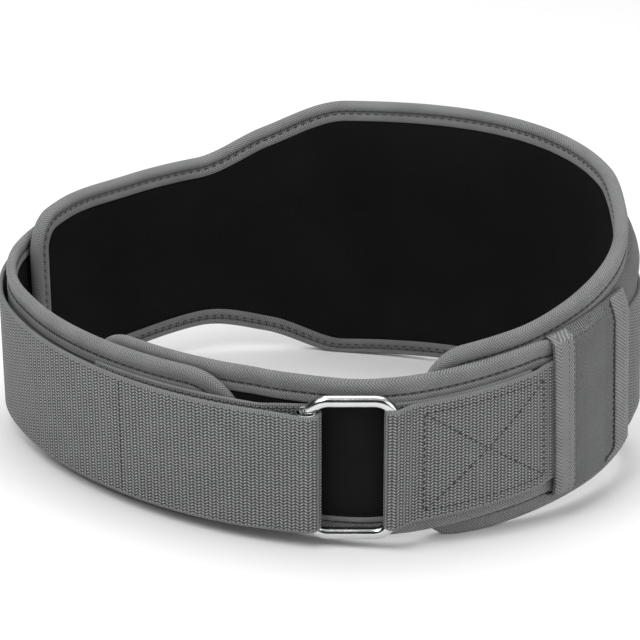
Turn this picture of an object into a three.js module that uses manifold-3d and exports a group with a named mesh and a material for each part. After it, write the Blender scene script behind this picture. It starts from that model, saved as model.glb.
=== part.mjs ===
// A padded weightlifting belt, closed: a contoured back panel, a wing and a front tab with bound
// edges, one long webbing strap through a metal ring with a roller, and two sleeves for the strap.
// Millimetres, +Z up, the ring towards -Y. The belt stands on the floor as it would by itself.
import * as THREE from "three";
import { mergeVertices } from "three/addons/utils/BufferGeometryUtils.js";
import Module from "manifold-3d";

const wasm = await Module();
wasm.setup();

// Plan of the closed belt, along the middle of the back panel's padding
const planWidth = 300.5;
const planDepth = 244.6;
const planSoftening = 15; // half the stretch over which the padding evens out a bend
const planStep = 3;
const middleOfBack = 0.159; // share of the way round from the rightmost point to the lumbar middle
// Each quarter: its share of the width and depth, and how square it is (2 is an ellipse)
const planQuarters = {
  backRight: { width: 0.488, depth: 0.52, square: 2.46 },
  backLeft: { width: 0.512, depth: 0.52, square: 1.92 },
  frontLeft: { width: 0.512, depth: 0.48, square: 1.7 },
  frontRight: { width: 0.488, depth: 0.48, square: 1.7 },
};

// Sizes of the panels
const lumbarHeight = 152;
const sideHeight = 103;
const frontHeight = 83; // the wing and the tab
const tabRise = 2.2; // how much higher the tab's top edge stands in front
const backLeftReach = 278; // from the lumbar middle to the left end
const backRightReach = 291;
const backThickness = 7.2;
const frontThickness = 5.2;
const thinShare = 0.74; // thickness left where the panels overlap under the right sleeve
const backEndRadius = 20;
const backTipRadius = 22;
const wingTipRadius = 29;
const tabTipRadius = 24;
const hiddenRadius = 16;

// Binding tape and cloth
const tapeWidth = 10.9;
const tapeThickness = 0.9;
const foldDepth = 2; // from the tape's fold to the inside of it
const rampLength = 2.3; // where the padding rises beside the tape
const crownLength = 8; // and where its swell rounds off
const rampShare = 0.6; // of the swell, reached at the end of the ramp
const gap = 0.3;

// Places along the belt, measured round it from the lumbar middle towards the left
const wingOverlap = 38; // hidden outside the back panel's left end
const wingToRing = 26.8; // clear stretch from the wing's tip to the ring's left bar
const tabReach = 174; // in front of the back panel's right tip
const tabOverlap = 75; // behind that tip
const tabDip = 8; // before and behind the sleeve's mouth, where the tab's top edge comes down
const ringToMouth = 104.1; // from the ring's middle to the mouth of the right sleeve

// Strap, ring and roller
const strapHeight = 63.5;
const strapThickness = 2;
const foldedReach = 104; // the free end inside, from the ring's left bar
const sewnReach = 71; // the sewn end inside, from the ring's right bar
const frontSlack = 9; // how far the strap stands off the wing's tip
const foldSlack = 1.2; // between the wing and the folded layer at its free end
const foldRise = 2.6; // and how much more at the roller
const sideSwell = 5.6; // of the padding behind the right sleeve, under the strap
const ringWidth = 46.6;
const ringHeight = 77.6;
const ringWire = 6;
const ringCorner = 11;
const rollerOuter = 10.4;
const rollerWall = 0.8;
const rollerLength = 58.8;
const rollerPlay = 0.4; // beyond the gap, where its ends reach into the ring's corners

// Sleeves that hold the strap to the back panel
const sleeveStart = 165.5; // from the lumbar middle, on both sides
const sleeveLength = 58.5;
const sleeveMouthHeight = 88;
const sleeveRearHeight = 94;
const sleeveThickness = 1;
const mouthTapeWidth = 11.5;
const rearTapeWidth = 12.5;
const patchLength = 56;
const patchHeight = 57;
const patchInset = 14; // from the folded end of the strap
const patchThickness = 1.2;

const pressedDepth = 0.7; // how far the cloth edge is flattened where it rests
const gridStep = 10;
const cornerSteps = 4;

const colours = {
  cover: { color: 0x5d5e60, roughness: 0.92, metalness: 0 },
  lining: { color: 0x121212, roughness: 0.97, metalness: 0 },
  binding: { color: 0x858789, roughness: 0.85, metalness: 0 },
  webbing: { color: 0x6b6d6f, roughness: 0.8, metalness: 0 },
  twill: { color: 0x707274, roughness: 0.85, metalness: 0 },
  chrome: { color: 0xc9ccd0, roughness: 0.15, metalness: 1 },
};

// Smooth value from a table: rows by their column "at", a cubic through the rows
function readTable(rows, column, at) {
  const last = rows.length - 1;
  if (at <= rows[0].at) return rows[0][column];
  if (at >= rows[last].at) return rows[last][column];
  let i = 0;
  while (rows[i + 1].at < at) i += 1;
  const slope = (k) => {
    const a = Math.max(k - 1, 0);
    const b = Math.min(k + 1, last);
    const left = (rows[k][column] - rows[a][column]) / (rows[k].at - rows[a].at || 1);
    const right = (rows[b][column] - rows[k][column]) / (rows[b].at - rows[k].at || 1);
    return left * right <= 0 ? 0 : (2 * left * right) / (left + right);
  };
  const span = rows[i + 1].at - rows[i].at;
  const t = (at - rows[i].at) / span;
  const rise = rows[i + 1][column] - rows[i][column];
  const a = slope(i) * span - rise;
  const b = rise - slope(i + 1) * span;
  return rows[i][column] + t * rise + t * (1 - t) * (a * (1 - t) + b * t);
}

// The plan curve as evenly spaced points, counterclockwise from the rightmost point
function quarterAt(angle) {
  const right = Math.cos(angle) > 0;
  if (Math.sin(angle) >= 0) return right ? planQuarters.backRight : planQuarters.backLeft;
  return right ? planQuarters.frontRight : planQuarters.frontLeft;
}

function roughPlan(count) {
  const points = [];
  for (let i = 0; i < count; i += 1) {
    const angle = (2 * Math.PI * i) / count;
    const { width, depth, square } = quarterAt(angle);
    const power = (value) => Math.sign(value) * Math.abs(value) ** (2 / square);
    const x = planWidth * width * power(Math.cos(angle));
    const y = planDepth * depth * power(Math.sin(angle));
    points.push(new THREE.Vector2(x, y));
  }
  return points;
}

function evenlySpaced(points, count) {
  const closed = [...points, points[0]];
  const along = [0];
  for (let i = 1; i < closed.length; i += 1) {
    along.push(along[i - 1] + closed[i].distanceTo(closed[i - 1]));
  }
  const total = along[along.length - 1];
  const result = [];
  let k = 0;
  for (let i = 0; i < count; i += 1) {
    const want = (total * i) / count;
    while (along[k + 1] < want) k += 1;
    const t = (want - along[k]) / (along[k + 1] - along[k]);
    result.push(closed[k].clone().lerp(closed[k + 1], t));
  }
  return { points: result, total };
}

function makePlan() {
  const rough = evenlySpaced(roughPlan(1440), 1440);
  const count = Math.round(rough.total / planStep);
  const even = evenlySpaced(rough.points, count).points;
  const reach = Math.round(planSoftening / planStep);
  const softened = even.map((_, i) => {
    const mean = new THREE.Vector2();
    for (let k = -reach; k <= reach; k += 1) mean.add(even[(i + k + count) % count]);
    return mean.divideScalar(2 * reach + 1);
  });
  return evenlySpaced(softened, count);
}

const plan = makePlan();
const girth = plan.total;

// Point in plan at the arc length "along" from the lumbar middle, moved outwards by "out"
function inPlan(along, out) {
  const count = plan.points.length;
  const share = along / girth + middleOfBack;
  const place = (share - Math.floor(share)) * count;
  const i = Math.floor(place) % count;
  const t = place - Math.floor(place);
  const at = (k) => plan.points[(k + count) % count];
  const normalAt = (k) => {
    const tangent = at(k + 1).clone().sub(at(k - 1));
    return new THREE.Vector2(tangent.y, -tangent.x).normalize();
  };
  const point = at(i).clone().lerp(at(i + 1), t);
  const normal = normalAt(i).lerp(normalAt(i + 1), t).normalize();
  return point.addScaledVector(normal, out);
}

function wrap(along, out, z) {
  const point = inPlan(along, out);
  return new THREE.Vector3(point.x, point.y, z);
}

// Arc lengths from "start" to "end" with every multiple of the grid step between them
function stations(start, end) {
  const result = [start];
  const first = Math.ceil((start + gridStep * 0.3) / gridStep);
  for (let k = first; k * gridStep < end - gridStep * 0.3; k += 1) result.push(k * gridStep);
  result.push(end);
  return result;
}

// Edge of the back panel: the rise from the side height to the lumbar height, along its reach on
// either side of the lumbar middle
const contour = [
  { at: -1.0, top: -0.02, bottom: 0.0 },
  { at: -0.82, top: 0.0, bottom: 0.06 },
  { at: -0.71, top: 0.12, bottom: 0.05 },
  { at: -0.565, top: 0.38, bottom: 0.08 },
  { at: -0.43, top: 0.72, bottom: 0.55 },
  { at: -0.315, top: 1.0, bottom: 1.0 },
  { at: 0.0, top: 1.0, bottom: 0.98 },
  { at: 0.28, top: 1.0, bottom: 1.0 },
  { at: 0.44, top: 0.44, bottom: 0.34 },
  { at: 0.575, top: -0.08, bottom: -0.04 },
  { at: 0.72, top: -0.08, bottom: 0.02 },
  { at: 0.88, top: 0.03, bottom: 0.02 },
  { at: 1.0, top: 0.0, bottom: 0.0 },
];

const backEdge = (column) => (along) => {
  const rise = (lumbarHeight - sideHeight) / 2;
  const reach = along < 0 ? backRightReach : backLeftReach;
  return sideHeight / 2 + rise * readTable(contour, column, along / reach);
};
const frontEdge = () => frontHeight / 2;

// Layers, from the inside out. Along the front, places continue past the left end of the back.
const backTip = girth - backRightReach;
const wingStart = backLeftReach - wingOverlap;
const sleeveFar = sleeveStart + sleeveLength;
const sleeveMouth = girth - sleeveFar;
const ringPlace = sleeveMouth - ringToMouth;
const leftBar = ringPlace - (ringWidth - ringWire) / 2;
const rightBar = ringPlace + (ringWidth - ringWire) / 2;
const wingEnd = leftBar - wingToRing;
const wingReach = wingEnd - backLeftReach;
const tabStart = backTip - tabReach;
const tabEnd = backTip + tabOverlap;

const taper = (along, from, to) => {
  const t = THREE.MathUtils.clamp((along - from) / (to - from), 0, 1);
  return 1 - (1 - thinShare) * t;
};
// The back panel thins towards its right tip, and the tab towards its hidden end
const backHalfThickness = (along) =>
  (backThickness / 2) * taper(-along, sleeveStart + sleeveLength * 0.4, sleeveFar);
const tabHalfThickness = (along) => (frontThickness / 2) * taper(along, backTip + gridStep, sleeveMouth);
const frontHalfThickness = () => frontThickness / 2;

const overBack = (along) => backHalfThickness(along > girth / 2 ? along - girth : along);
const wingOverBack = backThickness / 2 + gap + frontThickness / 2;
// The wing clears the end of the back panel and then eases inwards
const wingPath = [
  { at: wingStart, out: wingOverBack + gap },
  { at: backLeftReach + 4 * gap, out: wingOverBack + 2 * gap },
  { at: backLeftReach + wingReach * 0.16, out: wingOverBack * 0.66 },
  { at: backLeftReach + wingReach * 0.33, out: wingOverBack * 0.24 },
  { at: wingEnd, out: wingOverBack * 0.18 },
];
const wingOut = (along) => readTable(wingPath, "out", along);

// The tab starts inside the wing and ends outside the back panel's tip. Rows: place past the
// wing's tip as a share of the stretch from there to the back panel, and the share of the depth.
const tabInside = wingOut(wingEnd) - frontThickness - 2 * gap;
const tabPath = [
  { at: -1.0, depth: 1.1 },
  { at: -0.36, depth: 1.03 },
  { at: 0.0, depth: 1.0 },
  { at: 0.15, depth: 0.87 },
  { at: 0.3, depth: 0.75 },
  { at: 0.42, depth: 0.6 },
  { at: 0.7, depth: 0.14 },
  { at: 0.91, depth: 0.0 },
];
const tabOut = (along) => {
  const outside = overBack(Math.max(along, backTip)) + gap + tabHalfThickness(along);
  const depth = readTable(tabPath, "depth", (along - wingEnd) / (backTip - wingEnd));
  return outside + (tabInside - outside) * depth;
};
// Its top edge comes down where it goes into the right sleeve
const tabTopEdge = (along) => {
  const down = THREE.MathUtils.smoothstep(along, sleeveMouth - tabDip, sleeveMouth + tabDip);
  return frontHeight / 2 + tabRise * (1 - down);
};

// The back panel's padding swells outwards under the strap at the wearer's right side
const padSwell = [
  { at: -sleeveFar, share: 0.0 },
  { at: -sleeveStart, share: 0.57 },
  { at: -sleeveStart * 0.78, share: 1.0 },
  { at: -sleeveStart * 0.45, share: 0.3 },
  { at: 0, share: 0.0 },
];
const swellAt = (along) => sideSwell * readTable(padSwell, "share", along);
// Share of the swell at a depth inside the panel's outline: none under the tape, all at the crown
const swellShare = (inset) => {
  const ramp = (inset - tapeWidth - gap) / rampLength;
  const crown = (inset - tapeWidth - gap - rampLength) / crownLength;
  const clamp = THREE.MathUtils.clamp;
  return rampShare * clamp(ramp, 0, 1) + (1 - rampShare) * clamp(crown, 0, 1);
};

// The strap's layers, and how far its front stretch stands off the wing
const halfStrap = strapThickness / 2;
const overTab = (along) => tabOut(along) + tabHalfThickness(along) + gap + halfStrap;
const strapOverBack = (along) => backHalfThickness(along) + swellAt(along) + gap + halfStrap;
const strapOverWing = (along) => {
  const place = Math.min(along, wingEnd);
  return wingOut(place) + frontThickness / 2 + gap + halfStrap;
};
const frontLift = [
  { at: wingStart, share: 0.05 },
  { at: backLeftReach, share: 0.12 },
  { at: backLeftReach + wingReach * 0.14, share: 0.2 },
  { at: backLeftReach + wingReach * 0.295, share: 0.4 },
  { at: backLeftReach + wingReach * 0.61, share: 0.61 },
  { at: backLeftReach + wingReach * 0.86, share: 0.88 },
  { at: wingEnd, share: 1.0 },
];
// Outer layer left of the ring: over the wing, then straight to the roller
const outerOut = (along) => strapOverWing(along) + frontSlack * readTable(frontLift, "share", along);
const innerOut = (along) => {
  const share = THREE.MathUtils.clamp((along - (leftBar - foldedReach)) / foldedReach, 0, 1);
  return strapOverWing(along) + foldSlack + foldRise * share ** 2;
};

// Closed mesh from an indexed list of points
function meshFrom(points, faces) {
  const geometry = new THREE.BufferGeometry();
  geometry.setFromPoints(points);
  geometry.setIndex(faces.flat());
  return geometry;
}

// Joins two rows of points, given as index lists of one length, with quads
function bridge(faces, lower, upper, closed) {
  const count = lower.length;
  const end = closed ? count : count - 1;
  for (let i = 0; i < end; i += 1) {
    const k = (i + 1) % count;
    faces.push([lower[i], lower[k], upper[k]]);
    faces.push([lower[i], upper[k], upper[i]]);
  }
}

// Outline of a panel in its flat sheet: stations from the left end, along the top, round the right
// end and back along the bottom, each with its inward normal. Stations pair up top to bottom.
function outline({ start, end, top, bottom, startRadius, endRadius }) {
  const upper = [];
  const lower = [];
  const add = (along, z, nAlong, nZ, list) => list.push({ along, z, nAlong, nZ });
  const corner = (centre, radius, sign, angle) => {
    const sin = Math.sin(angle);
    const cos = Math.cos(angle);
    const zTop = top(centre) - radius + radius * cos;
    const zBottom = bottom(centre) - radius + radius * cos;
    add(centre + sign * radius * sin, zTop, -sign * sin, -cos, upper);
    add(centre + sign * radius * sin, -zBottom, -sign * sin, cos, lower);
  };
  for (let i = 0; i < cornerSteps; i += 1) {
    corner(start + startRadius, startRadius, -1, ((cornerSteps - i) * Math.PI) / (2 * cornerSteps));
  }
  for (const along of stations(start + startRadius, end - endRadius)) {
    const slope = (edge) => (edge(along + 1) - edge(along - 1)) / 2;
    const topSlope = new THREE.Vector2(slope(top), -1).normalize();
    const bottomSlope = new THREE.Vector2(slope(bottom), 1).normalize();
    add(along, top(along), topSlope.x, topSlope.y, upper);
    add(along, -bottom(along), bottomSlope.x, bottomSlope.y, lower);
  }
  for (let i = 1; i <= cornerSteps; i += 1) {
    corner(end - endRadius, endRadius, 1, (i * Math.PI) / (2 * cornerSteps));
  }
  return { loop: [...upper, ...lower.reverse()], half: upper.length };
}

// Point of the sheet, "inset" from its outline and "off" its middle surface
function onSheet(panel, station, inset, off) {
  const along = station.along + station.nAlong * inset;
  return wrap(along, panel.out(along) + off, station.z + station.nZ * inset);
}

// One face of a padded panel: flat on the middle surface, thin under the tape, full inside it
function paddedFace(panel, side) {
  const { loop, half } = outline(panel);
  const points = [];
  const faces = [];
  const ring = (inset, off) =>
    loop.map((station) => {
      const along = station.along + station.nAlong * inset;
      points.push(onSheet(panel, station, inset, side * off(panel.half(along), along)));
      return points.length - 1;
    });
  const cover = tapeThickness + gap;
  const swell = side > 0 && panel.swell ? panel.swell : () => 0;
  const middle = ring(foldDepth + gap, () => gap / 2);
  const edge = ring(foldDepth + gap, (full) => full - cover);
  const beside = ring(tapeWidth + gap, (full) => full - cover);
  const inner = ring(tapeWidth + gap + rampLength, (full, along) => full + rampShare * swell(along));
  const fill = (row, reversed) => {
    const top = row.slice(0, half);
    const bottom = row.slice(half).reverse();
    if (reversed) bridge(faces, top, bottom, false);
    else bridge(faces, bottom, top, false);
  };
  bridge(faces, edge, middle, true);
  bridge(faces, beside, edge, true);
  bridge(faces, inner, beside, true);
  if (panel.swell && side > 0) {
    const depth = tapeWidth + gap + rampLength + crownLength;
    const crown = ring(depth, (full, along) => full + swell(along));
    bridge(faces, crown, inner, true);
    fill(crown, false);
  } else {
    fill(inner, false);
  }
  fill(middle, true);
  if (side < 0) faces.forEach((face) => face.reverse());
  return meshFrom(points, faces);
}

// Tape folded round the whole edge of a panel
function boundEdge(panel) {
  const { loop } = outline(panel);
  const points = [];
  const rows = loop.map((station) => {
    const full = panel.half(station.along);
    const inside = full - tapeThickness;
    const section = [
      [tapeWidth, full],
      [full * 0.6, full],
      [full * 0.1, full * 0.45],
      [full * 0.1, -full * 0.45],
      [full * 0.6, -full],
      [tapeWidth, -full],
      [tapeWidth, -inside],
      [foldDepth, -inside],
      [foldDepth, inside],
      [tapeWidth, inside],
    ];
    return section.map(([inset, off]) => {
      points.push(onSheet(panel, station, inset, off));
      return points.length - 1;
    });
  });
  const faces = [];
  rows.forEach((row, i) => bridge(faces, rows[(i + 1) % rows.length], row, true));
  return meshFrom(points, faces);
}

// Band of cloth standing on edge: a plan outline of the given thickness, extruded to its height
function standingBand(path, thickness, height) {
  const left = [];
  const right = [];
  path.forEach((point, i) => {
    const before = path[Math.max(i - 1, 0)];
    const after = path[Math.min(i + 1, path.length - 1)];
    const into = point.clone().sub(before).normalize();
    const onward = after.clone().sub(point).normalize();
    const tangent = into.add(onward).normalize();
    const normal = new THREE.Vector2(-tangent.y, tangent.x);
    left.push(point.clone().addScaledVector(normal, thickness / 2));
    right.push(point.clone().addScaledVector(normal, -thickness / 2));
  });
  const shape = new THREE.Shape([...left, ...right.reverse()]);
  const geometry = new THREE.ExtrudeGeometry(shape, { depth: height, bevelEnabled: false });
  return geometry.translate(0, 0, -height / 2);
}

// Where the ring lies in plan: both bars on one line, its left bar eased in by the missing layers
const ringOut = overTab(rightBar) + halfStrap + gap + ringWire / 2;
const rightBarPlace = inPlan(rightBar, ringOut);
const leftBarPlace = rightBarPlace.clone().setX(rightBarPlace.x - (ringWidth - ringWire));
const boreSlack = rollerOuter / 2 - rollerWall - ringWire / 2 - gap - rollerPlay;
const rollerPlace = leftBarPlace.clone().setX(leftBarPlace.x - boreSlack);

// Half turn of the strap round a bar, from the inner layer to the outer one
function foldRound(centre, radius, side) {
  const points = [];
  const steps = 8;
  for (let i = 0; i <= steps; i += 1) {
    const angle = Math.PI / 2 - (side * Math.PI * i) / steps;
    const out = new THREE.Vector2(Math.cos(angle), Math.sin(angle));
    points.push(out.multiplyScalar(radius).add(centre));
  }
  return points;
}

function strapPath() {
  const points = [];
  const folded = stations(leftBar - foldedReach, leftBar - 2 * gridStep);
  folded.forEach((along) => points.push(inPlan(along, innerOut(along))));
  points.push(...foldRound(rollerPlace, rollerOuter / 2 + gap + halfStrap, 1));
  const outer = stations(wingStart - gridStep / 2, leftBar - 2 * gridStep).reverse();
  outer.forEach((along) => points.push(inPlan(along, outerOut(along))));
  const round = stations(-sleeveFar, sleeveFar).reverse();
  round.forEach((along) => points.push(inPlan(along, strapOverBack(along) + underSleeve(along))));
  const front = stations(rightBar + gridStep, sleeveMouth - 1).reverse();
  front.forEach((along) => points.push(inPlan(along, outerFront(along))));
  points.push(...foldRound(rightBarPlace, ringWire / 2 + gap + halfStrap, -1).reverse());
  const sewn = stations(rightBar + gridStep, rightBar + sewnReach);
  sewn.forEach((along) => points.push(inPlan(along, overTab(along))));
  return points;
}

// Inside the right sleeve the strap rides over the end of the tab
function underSleeve(along) {
  const far = -along - sleeveStart;
  const share = THREE.MathUtils.clamp((far - sleeveLength * 0.35) / (sleeveLength * 0.3), 0, 1);
  const tabLayer = 2 * tabHalfThickness(tabEnd) + gap;
  return share * tabLayer;
}

function outerFront(along) {
  const layers = 1 - THREE.MathUtils.smoothstep(along, rightBar + sewnReach, sleeveMouth);
  return overTab(along) + layers * (strapThickness + gap);
}

// Wire bent to a rounded rectangle, swept as one closed loop
function wireRing(wire) {
  const halfWidth = (ringWidth - ringWire) / 2;
  const halfHeight = (ringHeight - ringWire) / 2;
  const radius = ringCorner - ringWire / 2;
  const turnSteps = 6;
  const sides = 10;
  const centres = [
    [halfWidth - radius, halfHeight - radius],
    [-halfWidth + radius, halfHeight - radius],
    [-halfWidth + radius, -halfHeight + radius],
    [halfWidth - radius, -halfHeight + radius],
  ];
  const points = [];
  const rows = [];
  centres.forEach(([x, z], quarter) => {
    for (let i = 0; i <= turnSteps; i += 1) {
      const turn = (Math.PI / 2) * (quarter + i / turnSteps);
      const row = [];
      for (let k = 0; k < sides; k += 1) {
        const angle = (2 * Math.PI * k) / sides;
        const away = radius + (wire / 2) * Math.cos(angle);
        const depth = (wire / 2) * Math.sin(angle);
        points.push(new THREE.Vector3(x + away * Math.cos(turn), depth, z + away * Math.sin(turn)));
        row.push(points.length - 1);
      }
      rows.push(row);
    }
  });
  const faces = [];
  rows.forEach((row, i) => bridge(faces, row, rows[(i + 1) % rows.length], true));
  const middle = rightBarPlace.clone().add(leftBarPlace).divideScalar(2);
  return meshFrom(points, faces).translate(middle.x, middle.y, 0);
}

function rollerTube() {
  const outer = rollerOuter / 2;
  const inner = outer - rollerWall;
  const half = rollerLength / 2;
  const profile = [
    new THREE.Vector2(inner, -half),
    new THREE.Vector2(outer, -half),
    new THREE.Vector2(outer, half),
    new THREE.Vector2(inner, half),
    new THREE.Vector2(inner, -half),
  ];
  const geometry = new THREE.LatheGeometry(profile, 16);
  return geometry.rotateX(Math.PI / 2).translate(rollerPlace.x, rollerPlace.y, 0);
}

// Cloth sewn down along its top and bottom and arched over the strap between them.
// Rows: height as a share of the sleeve's half height, and the share of the arch's rise.
const sleeveArch = [
  { at: 1.0, front: 0.0, rear: 0.0 },
  { at: 0.985, front: 0.0, rear: 0.0 },
  { at: 0.97, front: 0.62, rear: 0.0 },
  { at: 0.93, front: 0.85, rear: 0.15 },
  { at: 0.76, front: 1.0, rear: 1.0 },
];
const sleeveHalfHeight = (along) => {
  const share = (Math.abs(along) - sleeveStart) / sleeveLength;
  return (sleeveRearHeight + (sleeveMouthHeight - sleeveRearHeight) * share) / 2;
};

// Stations shared by the sleeve and the tapes along its two open ends
function sleeveStations(side, from, to) {
  const marks = [sleeveStart, sleeveStart + rearTapeWidth, sleeveFar - mouthTapeWidth, sleeveFar];
  const inside = marks.filter((mark) => mark >= from && mark <= to).map((mark) => side * mark);
  inside.sort((a, b) => a - b);
  const result = [];
  inside.slice(1).forEach((end, i) => result.push(...stations(inside[i], end).slice(0, -1)));
  return [...result, inside[inside.length - 1]];
}

function sleeveBand(side, from, to, lift, thickness) {
  const baseAt = (along, z) => {
    const edge = backEdge(z > 0 ? "top" : "bottom")(along);
    return backHalfThickness(along) + swellAt(along) * swellShare(edge - Math.abs(z)) + gap;
  };
  const topOf = (along) => strapOverBack(along) + underSleeve(along) + halfStrap + gap;
  const front = (along) => (side < 0 ? Math.min(1, underSleeve(along) * 4) : 0);
  const points = [];
  const rows = sleeveStations(side, from, to).map((along) => {
    const row = [];
    const heights = [...sleeveArch, ...[...sleeveArch].reverse().map((r) => ({ ...r, at: -r.at }))];
    const at = (r, extra) => {
      const share = r.rear + (r.front - r.rear) * front(along);
      const z = r.at * sleeveHalfHeight(along);
      const base = baseAt(along, z);
      points.push(wrap(along, base + (topOf(along) - base) * share + lift + extra, z));
      return points.length - 1;
    };
    heights.forEach((r) => row.push(at(r, thickness)));
    [...heights].reverse().forEach((r) => row.push(at(r, 0)));
    return row;
  });
  const faces = [];
  rows.slice(1).forEach((row, i) => bridge(faces, rows[i], row, true));
  const cap = (row, reversed) => {
    const count = row.length / 2;
    const outer = row.slice(0, count);
    const inner = row.slice(count).reverse();
    if (reversed) bridge(faces, inner, outer, false);
    else bridge(faces, outer, inner, false);
  };
  cap(rows[0], true);
  cap(rows[rows.length - 1], false);
  return meshFrom(points, faces);
}

function fastenerPatch() {
  const end = leftBar - foldedReach + patchInset;
  const path = stations(end, end + patchLength).map((along) => {
    const middle = (innerOut(along) + outerOut(along)) / 2;
    return inPlan(along, middle);
  });
  return standingBand(path, patchThickness, patchHeight);
}

const pieces = [];
function addPiece(name, geometry, colour) {
  pieces.push({ name, geometry, colour });
}

const panels = [
  {
    name: "back",
    start: -backRightReach,
    end: backLeftReach,
    top: backEdge("top"),
    bottom: backEdge("bottom"),
    startRadius: backTipRadius,
    endRadius: backEndRadius,
    half: backHalfThickness,
    swell: swellAt,
    out: () => 0,
    face: "cover",
  },
  {
    name: "wing",
    start: wingStart,
    end: wingEnd,
    top: frontEdge,
    bottom: frontEdge,
    startRadius: hiddenRadius,
    endRadius: wingTipRadius,
    half: frontHalfThickness,
    out: wingOut,
    face: "cover",
  },
  {
    name: "tab",
    start: tabStart,
    end: tabEnd,
    top: tabTopEdge,
    bottom: frontEdge,
    startRadius: tabTipRadius,
    endRadius: hiddenRadius,
    half: tabHalfThickness,
    out: tabOut,
    face: "lining",
  },
];
for (const panel of panels) {
  addPiece(panel.name + "_cover", paddedFace(panel, 1), panel.face);
  addPiece(panel.name + "_lining", paddedFace(panel, -1), "lining");
  addPiece(panel.name + "_binding", boundEdge(panel), "binding");
}
// The webbing gives way to the bends of the wire where it folds round both bars
const wholeStrap = solidOf(standingBand(strapPath(), strapThickness, strapHeight));
addPiece("strap", geometryOf(wholeStrap.subtract(solidOf(wireRing(ringWire + 2 * gap)))), "webbing");
addPiece("fastener_patch", fastenerPatch(), "lining");
addPiece("ring", wireRing(ringWire), "chrome");
addPiece("roller", rollerTube(), "chrome");
for (const [name, side] of [["right", -1], ["left", 1]]) {
  const tapeLift = sleeveThickness + 1.5 * gap;
  addPiece(name + "_sleeve", sleeveBand(side, sleeveStart, sleeveFar, 0, sleeveThickness), "twill");
  const mouthTapeStart = sleeveFar - mouthTapeWidth;
  const frontTape = sleeveBand(side, mouthTapeStart, sleeveFar, tapeLift, tapeThickness);
  addPiece(name + "_sleeve_front_tape", frontTape, "binding");
  const rearTape = sleeveBand(side, sleeveStart, sleeveStart + rearTapeWidth, tapeLift, tapeThickness);
  addPiece(name + "_sleeve_rear_tape", rearTape, "binding");
}

// Solid of a geometry for joining and cutting, and back
function solidOf(geometry) {
  const bare = new THREE.BufferGeometry().setAttribute("position", geometry.getAttribute("position"));
  if (geometry.index) bare.setIndex(geometry.index);
  const merged = mergeVertices(bare, 1e-4);
  const vertProperties = new Float32Array(merged.getAttribute("position").array);
  const triVerts = new Uint32Array(merged.index.array);
  return new wasm.Manifold(new wasm.Mesh({ numProp: 3, vertProperties, triVerts }));
}

function geometryOf(solid) {
  const { vertProperties, triVerts, numProp } = solid.getMesh();
  const positions = new Float32Array((vertProperties.length / numProp) * 3);
  for (let i = 0; i < positions.length / 3; i += 1) {
    positions.set(vertProperties.subarray(i * numProp, i * numProp + 3), i * 3);
  }
  const geometry = new THREE.BufferGeometry();
  geometry.setAttribute("position", new THREE.BufferAttribute(positions, 3));
  return geometry.setIndex(new THREE.BufferAttribute(triVerts, 1));
}

// Volume and first moment of a closed mesh, from the tetrahedra under its faces
function momentOf(geometry) {
  const flat = geometry.index ? geometry.toNonIndexed() : geometry;
  const position = flat.getAttribute("position");
  const [a, b, c] = [new THREE.Vector3(), new THREE.Vector3(), new THREE.Vector3()];
  const moment = new THREE.Vector3();
  let volume = 0;
  for (let i = 0; i < position.count; i += 3) {
    a.fromBufferAttribute(position, i);
    b.fromBufferAttribute(position, i + 1);
    c.fromBufferAttribute(position, i + 2);
    const part = a.dot(new THREE.Vector3().crossVectors(b, c)) / 6;
    volume += part;
    moment.addScaledVector(a.add(b).add(c), part / 4);
  }
  return { volume, moment };
}

// The slopes of the floor, seen from the belt, on which it settles: the plane under every point
// that stands highest below the centre of mass. Each slope is found by narrowing an interval.
function restingSlopes(points, centre) {
  const clearance = (slopeX, slopeY) => {
    let least = Infinity;
    for (const point of points) {
      const height = point.z - slopeX * (point.x - centre.x) - slopeY * (point.y - centre.y);
      if (height < least) least = height;
    }
    return least;
  };
  const highest = (value) => {
    let [low, high] = [-0.4, 0.4];
    for (let i = 0; i < 40; i += 1) {
      const [left, right] = [low + (high - low) / 3, high - (high - low) / 3];
      if (value(left) < value(right)) low = left;
      else high = right;
    }
    return (low + high) / 2;
  };
  const bestY = (slopeX) => highest((slopeY) => clearance(slopeX, slopeY));
  const slopeX = highest((x) => clearance(x, bestY(x)));
  return { slopeX, slopeY: bestY(slopeX) };
}

function settle() {
  const moment = new THREE.Vector3();
  let volume = 0;
  const points = [];
  for (const { geometry } of pieces) {
    const part = momentOf(geometry);
    moment.add(part.moment);
    volume += part.volume;
    const position = geometry.getAttribute("position");
    for (let i = 0; i < position.count; i += 1) {
      const point = new THREE.Vector3().fromBufferAttribute(position, i);
      if (point.z < 0) points.push(point);
    }
  }
  const { slopeX, slopeY } = restingSlopes(points, moment.divideScalar(volume));
  const floorNormal = new THREE.Vector3(-slopeX, -slopeY, 1).normalize();
  return new THREE.Quaternion().setFromUnitVectors(floorNormal, new THREE.Vector3(0, 0, 1));
}

// Turns the belt onto the floor, presses the cloth edges flat there and centres it
const belt = new THREE.Group();
const turn = settle();
const box = new THREE.Box3();
for (const piece of pieces) {
  piece.geometry.applyQuaternion(turn);
  piece.geometry.computeBoundingBox();
  box.union(piece.geometry.boundingBox);
}
const middle = box.getCenter(new THREE.Vector3());
const floor = box.min.z + pressedDepth;
const slab = new THREE.BoxGeometry(2 * planWidth, 2 * planWidth, planWidth);
const underFloor = solidOf(slab.translate(middle.x, middle.y, floor - planWidth / 2));
for (const { name, geometry, colour } of pieces) {
  const reachesFloor = geometry.boundingBox.min.z < floor;
  const pressed = reachesFloor ? geometryOf(solidOf(geometry).subtract(underFloor)) : geometry;
  const mesh = new THREE.Mesh(pressed, new THREE.MeshStandardMaterial(colours[colour]));
  mesh.name = name;
  mesh.position.set(-middle.x, -middle.y, -floor);
  belt.add(mesh);
}

export default belt;
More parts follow.
